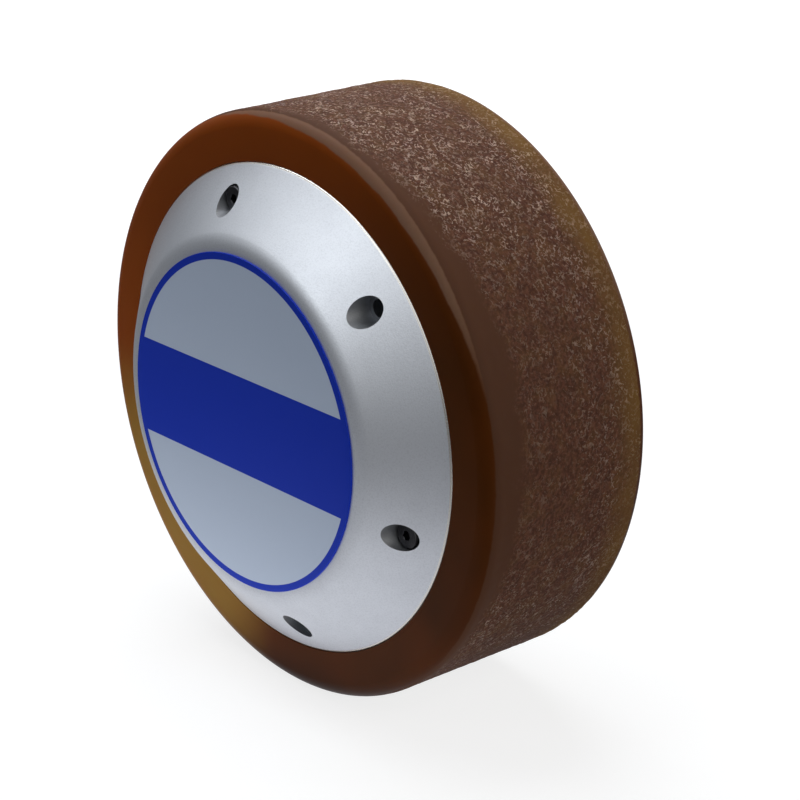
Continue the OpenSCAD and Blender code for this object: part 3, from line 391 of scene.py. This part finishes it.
def woundCopper():
    look = {"wire": 0.65, "copper": (0.55, 0.21, 0.055), "varnish": (0.34, 0.11, 0.03),
            "between": (0.08, 0.025, 0.01), "gloss": 0.34}
    r = newRecipe("woundCopper", Coat_Weight=0.7, Coat_Roughness=0.12)
    where, (x, y, z) = r.place()
    radius = (x * x + z * z) ** 0.5
    turn = (radius / look["wire"]).fraction()
    crown = (1 - (turn * 2 - 1) ** 2).over(0) ** 0.5  # each turn is round
    varnish = r.noise(where, 5, 3, 0.6)
    shade = r.blend(varnish.ramp(0.3, 0.75), look["copper"], look["varnish"])
    shade = r.blend((1 - crown) * 0.8, shade, look["between"])
    return r.surface(Base_Color=shade, Metallic=crown * 0.6, Roughness=look["gloss"] - crown * 0.08,
                     Normal=r.bump(crown, 0.22, 0.9))


def circuitBoard():
    look = {"line": (0.03, 0.15, 0.055), "board": (0.012, 0.075, 0.03), "gloss": 0.35, "pitch": 2.4}
    r = newRecipe("circuitBoard", Coat_Weight=0.5, Coat_Roughness=0.15)
    where, (x, y, z) = r.place()
    cells = r.add("ShaderNodeTexVoronoi", {"feature": "DISTANCE_TO_EDGE"}, where,
                  Scale=1 / look["pitch"])
    line = cells.ramp(0.05, 0.09)
    shade = r.blend(line, look["line"], look["board"])
    return r.surface(Base_Color=shade, Roughness=look["gloss"] + line * 0.1,
                     Normal=r.bump(1 - line, 0.03, 0.6))


finishes = {  # by the slots of the part's record
    "tyre_polyurethane": castPolyurethane(),
    "cover_aluminium": blastedAluminium(),
    "label_film": labelFilm(),
    "drum_aluminium": plainMetal("turnedAluminium", (0.72, 0.735, 0.76), (0.62, 0.635, 0.66),
                                 gloss=0.30, grainSize=0.5, grainDepth=0.03, streak=0.6),
    "yoke_steel": plainMetal("yokeSteel", (0.36, 0.36, 0.37), (0.27, 0.27, 0.28),
                             gloss=0.38, grainSize=0.6, grainDepth=0.03, streak=0.5),
    "magnet_nickel": plainMetal("nickelPlate", (0.66, 0.65, 0.62), (0.58, 0.57, 0.55),
                                gloss=0.22, grainSize=0.8, grainDepth=0.01),
    "screw_black": plainMetal("blackOxide", (0.060, 0.060, 0.065), (0.036, 0.036, 0.040),
                              gloss=0.38, grainSize=0.35, grainDepth=0.02),
    "spring_steel": plainMetal("springSteel", (0.52, 0.53, 0.55), (0.44, 0.45, 0.47),
                               gloss=0.28, grainSize=0.5, grainDepth=0.01),
    "bearing_steel": plainMetal("groundSteel", (0.58, 0.59, 0.61), (0.52, 0.53, 0.55),
                                gloss=0.16, grainSize=0.4, grainDepth=0.008, streak=0.6),
    "cage_brass": plainMetal("pressedBrass", (0.72, 0.53, 0.22), (0.60, 0.42, 0.16),
                             gloss=0.28, grainSize=0.7, grainDepth=0.02),
    "circlip_steel": plainMetal("phosphatedSteel", (0.10, 0.10, 0.11), (0.07, 0.07, 0.075),
                                gloss=0.45, grainSize=0.3, grainDepth=0.02),
    "axle_steel": plainMetal("turnedSteel", (0.60, 0.61, 0.63), (0.50, 0.51, 0.53),
                             gloss=0.26, grainSize=0.45, grainDepth=0.02, streak=0.75),
    "seal_rubber": plainMoulding("nitrileRubber", (0.016, 0.016, 0.017), (0.035, 0.034, 0.033),
                                 gloss=0.5, grainSize=0.5, grainDepth=0.03),
    "bearing_seal": plainMoulding("bearingSeal", (0.025, 0.025, 0.028), (0.05, 0.05, 0.05),
                                  gloss=0.5, grainSize=0.5, grainDepth=0.02),
    "grommet_rubber": plainMoulding("grommetRubber", (0.014, 0.014, 0.015), (0.035, 0.034, 0.033),
                                    gloss=0.55, grainSize=0.6, grainDepth=0.03),
    "insulator_plastic": plainMoulding("mouldedNylon", (0.68, 0.63, 0.50), (0.76, 0.72, 0.60),
                                       gloss=0.42, grainSize=0.4, grainDepth=0.02),
    "chip_black": plainMoulding("chipEpoxy", (0.02, 0.02, 0.021), (0.04, 0.04, 0.04),
                                gloss=0.5, grainSize=0.2, grainDepth=0.01),
    "board_green": circuitBoard(),
    "lamination_steel": stackedLaminations(),
    "enamelled_copper": woundCopper(),
}
slotOf = {part["node"]: part["material_slot"] for part in frame["record"]["subparts"]}
for node, cadPart in frame["nodes"].items():
    cadPart.data.materials.clear()
    cadPart.data.materials.append(finishes[slotOf[node]])
print("materials made:", len(finishes))


# Ways of making pieces that several of them share
def arc(centre, radius, start, end, steps):  # points on a round stretch of an outline, in degrees
    turns = [math.radians(start + (end - start) * i / steps) for i in range(steps + 1)]
    return [(centre[0] + radius * math.cos(turn), centre[1] + radius * math.sin(turn))
            for turn in turns]


def between(first, last, steps):  # points inside a straight stretch of an outline
    return [tuple(a + (b - a) * i / steps for a, b in zip(first, last)) for i in range(1, steps)]


def notch(radius, depth, middle, half):  # a square groove that goes in from a radius
    return [(radius, middle - half), (radius - depth, middle - half),
            (radius - depth, middle + half), (radius, middle + half)]


def outlineMesh(points, closed=True):  # from pairs: distance from the axle, place along it
    bm = bmesh.new()
    corners = [bm.verts.new((radius * mm, y * mm, 0)) for radius, y in points]
    for first, second in zip(corners, corners[1:] + corners[:1] if closed else corners[1:]):
        bm.edges.new((first, second))
    return bm


def spinMesh(bm, steps):  # the outline turned once round the axle
    bmesh.ops.spin(bm, geom=bm.verts[:] + bm.edges[:], cent=(0, 0, 0), axis=(0, 1, 0),
                   angle=2 * math.pi, steps=steps, use_merge=True)
    bmesh.ops.remove_doubles(bm, verts=bm.verts, dist=1e-6)
    bmesh.ops.recalc_face_normals(bm, faces=bm.faces)
    return bm


def turnMesh(bm, verts, degrees, axis):
    bmesh.ops.rotate(bm, cent=(0, 0, 0), matrix=Matrix.Rotation(math.radians(degrees), 3, axis),
                     verts=verts)


def makeObject(bm, name):
    mesh = bpy.data.meshes.new(name)
    bm.to_mesh(mesh)
    bm.free()
    piece = bpy.data.objects.new(name, mesh)
    bpy.context.scene.collection.objects.link(piece)
    return piece


def cutAway(piece, cutter):  # a boolean cut, applied
    cut = piece.modifiers.new("cut", "BOOLEAN")
    cut.operation, cut.solver, cut.object = "DIFFERENCE", "EXACT", cutter
    evaluated = piece.evaluated_get(bpy.context.evaluated_depsgraph_get())
    applied = bpy.data.meshes.new_from_object(evaluated)
    piece.modifiers.clear()
    old, piece.data = piece.data, applied
    bpy.data.meshes.remove(old)
    bpy.data.objects.remove(cutter)


def bevelEdges(piece, chosen, width, segments=2, sharpest=0.4):
    # chosen picks edges by their middle, in millimetres; flatter ones than sharpest are left
    bm = bmesh.new()
    bm.from_mesh(piece.data)
    bmesh.ops.remove_doubles(bm, verts=bm.verts, dist=2e-6)
    edges = [e for e in bm.edges if len(e.link_faces) == 2 and e.calc_face_angle(0) > sharpest
             and chosen((e.verts[0].co + e.verts[1].co) / 2 / mm)]
    bmesh.ops.bevel(bm, geom=edges, offset=width * mm, offset_type="OFFSET", affect="EDGES",
                    segments=segments, profile=0.5, material=-1, clamp_overlap=True)
    bm.to_mesh(piece.data)
    bm.free()


def dress(piece, node, sharpAngle=14):  # finish, shading and body of a piece for a CAD node
    piece.data.materials.clear()
    piece.data.materials.append(finishes[slotOf[node]])
    piece.data.shade_smooth()
    piece.data.set_sharp_from_angle(angle=math.radians(sharpAngle))
    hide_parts(node)
    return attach(piece, frame["nodes"][node]["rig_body"])


# The screws' circle, its pockets and its cutters
def onScrewCircle(bm, which):  # copies what bm holds to these places of the circle
    first = bm.verts[:] + bm.edges[:] + bm.faces[:]
    bmesh.ops.translate(bm, vec=(screwCircle["radius"] * mm, 0, 0), verts=bm.verts)
    step = 360 / screwCircle["count"]
    for i in which[1:]:
        copy = bmesh.ops.duplicate(bm, geom=first)["geom"]
        verts = [v for v in copy if isinstance(v, bmesh.types.BMVert)]
        turnMesh(bm, verts, (i - which[0]) * step, "Y")
    turnMesh(bm, bm.verts, screwCircle["firstAngle"] + which[0] * step, "Y")
    return bm


def drillHoles(piece, seat, outward, hole, which):  # pockets and holes: outward is -1 or 1
    pocket = screwCircle["pocketRadius"]
    top = seat + screwCircle["reach"] * outward
    bottom = seat - screwCircle["holeDepth"] * outward
    points = [(0, top), (pocket, top), (pocket, seat), (hole, seat), (hole, bottom), (0, bottom)]
    drills = onScrewCircle(spinMesh(outlineMesh(points, closed=False), 64), which)
    cutAway(piece, makeObject(drills, "drills"))


def nearPocket(p):  # whether a point lies on a pocket's wall
    step = 2 * math.pi / screwCircle["count"]
    angle = math.atan2(-p.z, p.x) - math.radians(screwCircle["firstAngle"])
    angle = (angle + step / 2) % step - step / 2
    reach = math.hypot(p.x, p.z)
    away = math.hypot(reach * math.cos(angle) - screwCircle["radius"], reach * math.sin(angle))
    return abs(away - screwCircle["pocketRadius"]) < 0.1


# Tyre
tyreLow, tyreHigh = (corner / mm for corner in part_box("tyre"))
tyreShape = {
    "radius": tyreHigh.z, "front": tyreLow.y, "rear": tyreHigh.y, "bore": 69.0,
    "shoulder": 4.7, "shoulderSteps": 12, "firstTilt": 10,  # the shoulder starts with this break
    "lip": 0.28, "lipDepth": 3.5,  # the casting reaches in to the covers' edges
    "lipMouth": 0.15, "lipSlope": 0.3,
    "ribs": 4, "ribDepth": 1.2, "ribWidth": 3.0, "ribPitch": 10.0,
    "around": 640, "across": 64,  # the mesh of the tread
    "smooth": 5.5, "rearSmooth": 3.4,  # from the side faces to where the rough tread begins
    "blend": 1.6,  # how far the grain takes to begin
    "border": ((1.7, 7), (0.9, 2.3)),  # height and size of the waves of its border
    "grain": ((1, 1.3), (0.6, 3.1)), "sink": 0.9,  # the same for the grain, kept under the radius
    "roughness": 0.13,  # height of the whole grain
}


def waves(place, layers):
    return sum(height * noise.noise(place / size) for height, size in layers)


def roughenTread(bm, shape):  # the grain that the grinding left
    for v in bm.verts:
        place = v.co / mm
        away = math.hypot(place.x, place.z)
        if away < shape["radius"] - 0.5:
            continue
        ragged = waves(place, shape["border"])
        fromFront = place.y - shape["front"] - shape["smooth"] + ragged
        fromRear = shape["rear"] - shape["rearSmooth"] - place.y + ragged
        share = max(0.0, min(1.0, min(fromFront, fromRear) / shape["blend"] + 0.5))
        push = shape["roughness"] * share * (waves(place, shape["grain"]) - shape["sink"]) * mm
        v.co.x += push * place.x / away
        v.co.z += push * place.z / away


def makeTyre(shape):
    radius, bend = shape["radius"], shape["shoulder"]
    front, rear = shape["front"], shape["rear"]
    tilt = math.radians(shape["firstTilt"])
    low, high = 1 - math.sin(tilt), math.cos(tilt)  # the arc that starts with a break
    wide = arc((0, 0), 1, shape["firstTilt"] - 90, 0, shape["shoulderSteps"])
    inner = radius - bend
    points = [(inner + bend * (c - (1 - low)) / low, front + bend + bend * s / high)
              for c, s in wide]
    points += [(inner + bend * (c - (1 - low)) / low, rear - bend - bend * s / high)
               for c, s in reversed(wide)]
    bore, lip, reach = shape["bore"], shape["lip"], shape["lipDepth"]
    mouth, slope = shape["lipMouth"], shape["lipSlope"]
    points += [(bore - lip + mouth, rear), (bore - lip, rear - mouth),
               (bore - lip, rear - reach), (bore, rear - reach - slope)]
    for i in range(shape["ribs"]):  # the keys that fill the drum's grooves
        centre = (front + rear) / 2 + shape["ribPitch"] * ((shape["ribs"] - 1) / 2 - i)
        points += notch(bore, shape["ribDepth"], centre, -shape["ribWidth"] / 2)
    points += [(bore, front + reach + slope), (bore - lip, front + reach),
               (bore - lip, front + mouth), (bore - lip + mouth, front)]
    bm = outlineMesh(points)
    bm.verts.ensure_lookup_table()
    last = shape["shoulderSteps"]
    crown = bm.edges.get((bm.verts[last], bm.verts[last + 1]))  # the straight line of the tread
    bmesh.ops.subdivide_edges(bm, edges=[crown], cuts=shape["across"] - 1)
    spinMesh(bm, shape["around"])
    roughenTread(bm, shape)
    return makeObject(bm, "castTyre")


tyre = dress(makeTyre(tyreShape), "tyre", sharpAngle=40)
print("tyre made:", len(tyre.data.polygons), "faces")


# Where both covers fit into the drum: a spigot with a groove for a rubber ring
spigotShape = {"spigotRadius": 54.95, "spigotWall": 4.0, "spigotDepth": 4.0, "spigotMouth": 0.3,
               "grooveWidth": 1.9, "grooveDepth": 1.45}

# Front cover, with its screw pockets cut through the cone
coverLow, coverHigh = (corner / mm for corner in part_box("front_cover"))
coverShape = {
    **spigotShape,
    "radius": coverHigh.x, "face": coverLow.y, "back": coverHigh.y,
    "faceRadius": 47.15, "bend": 8.2, "cone": 37.0, "thickness": 4.0, "rim": 4.9,
    "rimRound": 0.75, "steps": 360, "bendSteps": 16, "coneSteps": 14, "rimSteps": 8,
    "faceRings": (6, 1),  # rings of the flat face inside its edge
    "bossRadius": 21.5, "bossFoot": 2,
    "bearingRadius": 17.5, "bearingDepth": 11.1, "bearingMouth": 0.3,
    "stopRadius": 15.5, "stopHeight": 8.9,
    "magnetRadius": 3.05, "magnetDepth": 1.1,
}


def makeFrontCover(shape):
    cone = math.radians(shape["cone"])
    radius, face, faceRadius = shape["radius"], shape["face"], shape["faceRadius"]
    spigot, mouth = shape["spigotRadius"], shape["spigotMouth"]
    boss, bearing, bearingMouth = shape["bossRadius"], shape["bearingRadius"], shape["bearingMouth"]
    drumPlane = shape["back"] - shape["spigotDepth"]
    rimEdge = drumPlane - shape["rim"]
    inner = face + shape["thickness"]
    stop = inner + shape["stopHeight"]
    bearingEnd = stop + shape["bearingDepth"]
    spigotInner = spigot - shape["spigotWall"]
    innerEdge = rimEdge + shape["thickness"] / math.cos(cone)
    innerCone = innerEdge - (radius - spigotInner) * math.tan(cone)
    innerFlat = radius - (innerEdge - inner) / math.tan(cone)
    edge = shape["rimRound"]
    rimCentre = (radius - edge, rimEdge - (edge * math.tan(cone)) + edge / math.cos(cone))
    bendCentre = (faceRadius, face + shape["bend"])
    bend = arc(bendCentre, shape["bend"], -90, -90 + shape["cone"], shape["bendSteps"])
    rim = arc(rimCentre, edge, -90 + shape["cone"], 0, shape["rimSteps"])
    points = [(0, face)] + [(faceRadius - inside, face) for inside in shape["faceRings"]]
    points += bend + between(bend[-1], rim[0], shape["coneSteps"]) + rim
    points += [(radius, drumPlane), (spigot, drumPlane)]
    grooveMiddle = drumPlane + shape["spigotDepth"] / 2
    points += notch(spigot, shape["grooveDepth"], grooveMiddle, shape["grooveWidth"] / 2)
    points += [
        (spigot, shape["back"] - mouth), (spigot - mouth, shape["back"]),
        (spigotInner, shape["back"]), (spigotInner, innerCone), (innerFlat, inner),
        (boss + shape["bossFoot"], inner), (boss, inner + shape["bossFoot"]),
        (boss, bearingEnd), (bearing + bearingMouth, bearingEnd),
        (bearing, bearingEnd - bearingMouth), (bearing, stop), (shape["stopRadius"], stop),
        (shape["stopRadius"], inner), (shape["magnetRadius"], inner),
        (shape["magnetRadius"], inner - shape["magnetDepth"]), (0, inner - shape["magnetDepth"]),
    ]
    cover = makeObject(spinMesh(outlineMesh(points, closed=False), shape["steps"]), "domedCover")
    seat = drumPlane - screwCircle["frontSeat"]
    drillHoles(cover, seat, -1, screwCircle["holeRadius"], screwCircle["frontScrews"])
    drillHoles(cover, seat, -1, screwCircle["pushRadius"], screwCircle["pushHoles"])
    mouths = lambda p: face + 0.5 < p.y < seat - 0.3 and nearPocket(p)
    bevelEdges(cover, mouths, screwCircle["mouth"])
    return cover


frontCover = dress(makeFrontCover(coverShape), "front_cover")
print("front cover made:", len(frontCover.data.polygons), "faces")


# Label, a film on the flat face
labelLow, labelHigh = (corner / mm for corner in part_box("front_label"))
labelShape = {
    "radius": labelHigh.x, "front": labelLow.y, "back": labelHigh.y,
    "edgeRound": 0.18, "edgeSteps": 6, "flatRing": 3, "steps": 240,
}


def makeLabel(shape):
    radius, edge = shape["radius"], shape["edgeRound"]
    points = [(0, shape["front"]), (radius - shape["flatRing"], shape["front"])]
    points += arc((radius - edge, shape["front"] + edge), edge, -90, 0, shape["edgeSteps"])
    points += [(radius, shape["back"]), (0, shape["back"])]
    return makeObject(spinMesh(outlineMesh(points, closed=False), shape["steps"]), "roundLabel")


dress(makeLabel(labelShape), "front_label", sharpAngle=20)
print("label made")


# Cover screws, with the same heads but lower behind
frontScrewShape = {
    "thread": 2.0, "length": 16.0, "tip": 0.4, "steps": 48,
    "headRadius": 3.5, "headHeight": 2.8, "edge": 0.35, "edgeSteps": 5, "foot": 0.1,
    "socket": 2.5, "socketDepth": 1.7, "socketRing": 0.25,
    "mouthFoot": 0.82, "mouthTop": 1.35, "mouthDepth": 0.28,  # the first two in socket radii
}
rearScrewShape = {**frontScrewShape, "length": 12.0, "headHeight": 2.2, "socketDepth": 1.4}


def makeScrews(shape, name, seat, outward, which):
    head, tall, edge = shape["headRadius"], shape["headHeight"], shape["edge"]
    thread, foot, tip, length = shape["thread"], shape["foot"], shape["tip"], shape["length"]
    across = shape["socket"] / 2 / math.cos(math.pi / 6)
    up = lambda distance: seat + distance * outward
    points = [(0, up(tall)), (across + shape["socketRing"], up(tall))]
    crown = arc((head - edge, tall - edge), edge, 90, 0, shape["edgeSteps"])
    points += [(radius, up(y)) for radius, y in crown]
    points += [(head, up(foot)), (head - foot, up(0)), (thread, up(0)),
               (thread, up(tip - length)), (thread - tip, up(-length)), (0, up(-length))]
    screw = makeObject(spinMesh(outlineMesh(points, closed=False), shape["steps"]), name)
    cutters = (  # the hexagon socket, then its turned mouth: sides, radii, depth, height above
        (6, across, across, shape["socketDepth"], 1),
        (32, across * shape["mouthFoot"], across * shape["mouthTop"], shape["mouthDepth"], 0.5),
    )
    for sides, bottom, top, depth, above in cutters:
        bm = bmesh.new()
        bmesh.ops.create_cone(bm, cap_ends=True, segments=sides, depth=(above + depth) * mm,
                              radius1=bottom * mm, radius2=top * mm)
        bmesh.ops.translate(bm, vec=(0, 0, (above - depth) / 2 * mm), verts=bm.verts)
        turnMesh(bm, bm.verts, -90 * outward, "X")
        bmesh.ops.translate(bm, vec=(0, up(tall) * mm, 0), verts=bm.verts)
        cutAway(screw, makeObject(bm, "socketCutter"))
    bm = bmesh.new()
    bm.from_mesh(screw.data)
    onScrewCircle(bm, which).to_mesh(screw.data)
    bm.free()
    return screw


frontSeat = coverShape["back"] - coverShape["spigotDepth"] - screwCircle["frontSeat"]
dress(makeScrews(frontScrewShape, "lowHeadScrews", frontSeat, -1, screwCircle["frontScrews"]),
      "front_cover_screws", sharpAngle=24)
print("front screws made")


# Rear cover, a shallow disc round the hub of the seal
rearLow, rearHigh = (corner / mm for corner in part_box("rear_cover"))
rearShape = {
    **spigotShape,
    "radius": rearHigh.x, "hubFace": rearHigh.y, "front": rearLow.y,
    "rim": 4.9, "drumPlane": -11.5, "slope": 5.0, "thickness": 5.0,
    "rimRound": 0.5, "rimSteps": 8, "discSteps": 18, "steps": 360,
    "hubRadius": 30.0, "hubFoot": 3.0, "hubRound": 0.45, "hubSteps": 6,
    "fillet": 2.4, "filletFrom": 262, "filletTo": 196, "filletSteps": 8,  # at the hub's foot
    "sealRadius": 17.5, "sealDepth": 7.0, "sealMouth": 0.3, "stop": 0.5,
    "bearingRadius": 23.5, "bearingWidth": 12.0,
    "clipWidth": 1.75, "clipDepth": 1.2, "bossWall": 3.0, "bossFoot": 2,
}


def makeRearCover(shape):
    slope = math.tan(math.radians(shape["slope"]))
    radius, hub, plane = shape["radius"], shape["hubRadius"], shape["drumPlane"]
    hubFace, front, fillet = shape["hubFace"], shape["front"], shape["fillet"]
    rimEdge = plane + shape["rim"]
    disc = lambda r: rimEdge + (radius - r) * slope
    edge, top = shape["rimRound"], shape["hubRound"]
    foot = hub + shape["hubFoot"]
    seal, sealMouth, bearing = shape["sealRadius"], shape["sealMouth"], shape["bearingRadius"]
    bearingRear = hubFace - shape["sealDepth"] - shape["stop"]
    bearingFront = bearingRear - shape["bearingWidth"]
    clip, clipFront = bearing + shape["clipDepth"], bearingFront - shape["clipWidth"]
    boss, bossFoot = bearing + shape["bossWall"], shape["bossFoot"]
    inner = disc(boss) - shape["thickness"]
    spigot, mouth = shape["spigotRadius"], shape["spigotMouth"]
    spigotInner, spigotEnd = spigot - shape["spigotWall"], plane - shape["spigotDepth"]
    points = [(radius, plane)]
    points += arc((radius - edge, disc(radius - edge) - edge), edge, 0, 90 - shape["slope"],
                  shape["rimSteps"])
    points += between(points[-1], (foot, disc(foot)), shape["discSteps"]) + [(foot, disc(foot))]
    points += arc((hub + fillet, disc(hub + fillet) + fillet), fillet,
                  shape["filletFrom"], shape["filletTo"], shape["filletSteps"])
    points += arc((hub - top, hubFace - top), top, 0, 90, shape["hubSteps"])
    points += [
        (seal + sealMouth, hubFace), (seal, hubFace - sealMouth), (seal, bearingRear),
        (bearing, bearingRear), (bearing, bearingFront), (clip, bearingFront), (clip, clipFront),
        (bearing, clipFront), (bearing, front), (boss, front), (boss, inner - bossFoot),
        (boss + bossFoot, inner), (spigotInner, inner), (spigotInner, spigotEnd),
        (spigot - mouth, spigotEnd), (spigot, spigotEnd + mouth),
    ]
    grooveMiddle = plane - shape["spigotDepth"] / 2
    points += notch(spigot, shape["grooveDepth"], grooveMiddle, shape["grooveWidth"] / 2)
    points.append((spigot, plane))
    cover = makeObject(spinMesh(outlineMesh(points), shape["steps"]), "rearDisc")
    seat = plane + screwCircle["rearSeat"]
    drillHoles(cover, seat, 1, screwCircle["holeRadius"], range(screwCircle["count"]))
    bevelEdges(cover, lambda p: p.y > seat + 0.5 and nearPocket(p), screwCircle["mouth"])
    return cover


dress(makeRearCover(rearShape), "rear_cover")
rearSeat = rearShape["drumPlane"] + screwCircle["rearSeat"]
dress(makeScrews(rearScrewShape, "rearScrews", rearSeat, 1, range(screwCircle["count"])),
      "rear_cover_screws", sharpAngle=24)
print("rear cover and its screws made")


# Lights: where each stands and how far it reaches, in metres, and its radiance
lamps = {
    "frontSoftbox": {"place": (-0.207, -1.080, 0.750), "size": (0.70, 0.50),
                     "radiance": 0.85, "tint": (0.93, 0.98, 1.0)},
    "topSoftbox": {"place": (-0.470, 0.094, 1.202), "size": (1.3, 1.2),
                   "radiance": 3.3, "tint": (0.96, 0.98, 1.0)},
    "sideSoftbox": {"place": (1.205, 0.158, 0.454), "size": (1.2, 1.2),
                    "radiance": 1.6, "tint": (1.0, 0.96, 0.88)},
    "bounceCard": {"place": (-0.035, -0.118, -0.081), "size": (0.26, 0.08),
                   "radiance": 1.55, "tint": (1.0, 0.99, 0.98), "flat": True},  # lies face up
}
target = Vector((0, -0.0365, 0))  # the middle of the tyre
for name, lamp in lamps.items():
    data = bpy.data.lights.new(name, "AREA")
    data.shape = "RECTANGLE"
    data.size, data.size_y = lamp["size"]
    data.color = lamp["tint"]
    data.energy = lamp["radiance"] * math.pi * data.size * data.size_y
    light = bpy.data.objects.new(name, data)
    light.location = lamp["place"]
    behind = Vector((0, 0, -1)) if lamp.get("flat") else light.location - target
    light.rotation_euler = behind.to_track_quat("Z", "Y").to_euler()
    light.visible_camera = False
    light.visible_glossy = not lamp.get("flat")
    bpy.context.scene.collection.objects.link(light)

studio = {
    "white": (1.0, 1.0, 1.0), "fill": (0.070, 0.074, 0.082),
    "fullHeight": 0.64,  # metal sees it white from here up, dim at the horizon
    "asideFrom": 0.1, "asideTo": 0.8, "asideLoss": 0.45,  # and dimmer towards -X
}


def paintWorld(look):
    world = bpy.context.scene.world or bpy.data.worlds.new("studio")
    bpy.context.scene.world = world
    r = Recipe(world, "Background")
    seen, glossy, clear = r.rays()
    direction = r.add("ShaderNodeTexCoord", out="Generated")
    x, y, z = r.outputs(r.add("ShaderNodeSeparateXYZ", None, direction))
    height = (z / look["fullHeight"]).over(0).under(1)
    aside = 1 - (x * -1).ramp(look["asideFrom"], look["asideTo"]) * look["asideLoss"]
    share = seen.over(clear).over(glossy * height * aside)
    r.surface(Color=r.blend(share, look["fill"], look["white"]))


paintWorld(studio)

floorShape = {
    "half": 3.0,  # metres
    "grey": (0.30, 0.305, 0.31), "rough": 0.9,
    "glow": 0.80, "glowFrom": 250, "glowTo": 900,  # white to the camera, less under the wheel
    "near": 0.62, "middle": 0.20, "far": 0.13,  # what metal sees in it, from the wheel outwards
    "nearEnd": 60, "middleStart": 260, "farStart": 480,
    "beside": 0.7, "besideX": (150, 260), "besideY": (-210, 80),  # lights the rims from one side
    "blue": 1.04,  # and a little bluer there
}


def makeFloor(shape):
    bm = bmesh.new()
    bmesh.ops.create_grid(bm, x_segments=1, y_segments=1, size=shape["half"])
    bmesh.ops.translate(bm, vec=(0, 0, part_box("tyre")[0].z), verts=bm.verts)
    floor = makeObject(bm, "paleFloor")
    r = newRecipe("paleFloor", Roughness=shape["rough"], Specular_IOR_Level=0.0,
                  Emission_Strength=1.0)
    seen, glossy, clear = r.rays()
    where, (x, y, z) = r.place()
    fromTyre = y - target.y / mm
    away = (x * x + fromTyre * fromTyre) ** 0.5
    glow = shape["glow"] + away.ramp(shape["glowFrom"], shape["glowTo"]) * (1 - shape["glow"])
    start, reach = shape["besideY"]
    beside = x.ramp(*shape["besideX"]) * (y - start).ramp(0, reach) * shape["beside"]
    pale = beside + shape["near"]
    for first, last, high, low in (("nearEnd", "middleStart", "near", "middle"),
                                   ("middleStart", "farStart", "middle", "far")):
        pale = pale - away.ramp(shape[first], shape[last]) * (shape[high] - shape[low])
    mirrored = r.vector(pale, pale, pale * shape["blue"])
    r.surface(Base_Color=r.blend(glossy, shape["grey"], (0, 0, 0)),
              Emission_Color=r.blend(glossy, seen.over(clear) * glow, mirrored))
    floor.data.materials.append(r.owner)


makeFloor(floorShape)
bpy.context.scene.view_settings.view_transform = "Standard"
print("stage set")
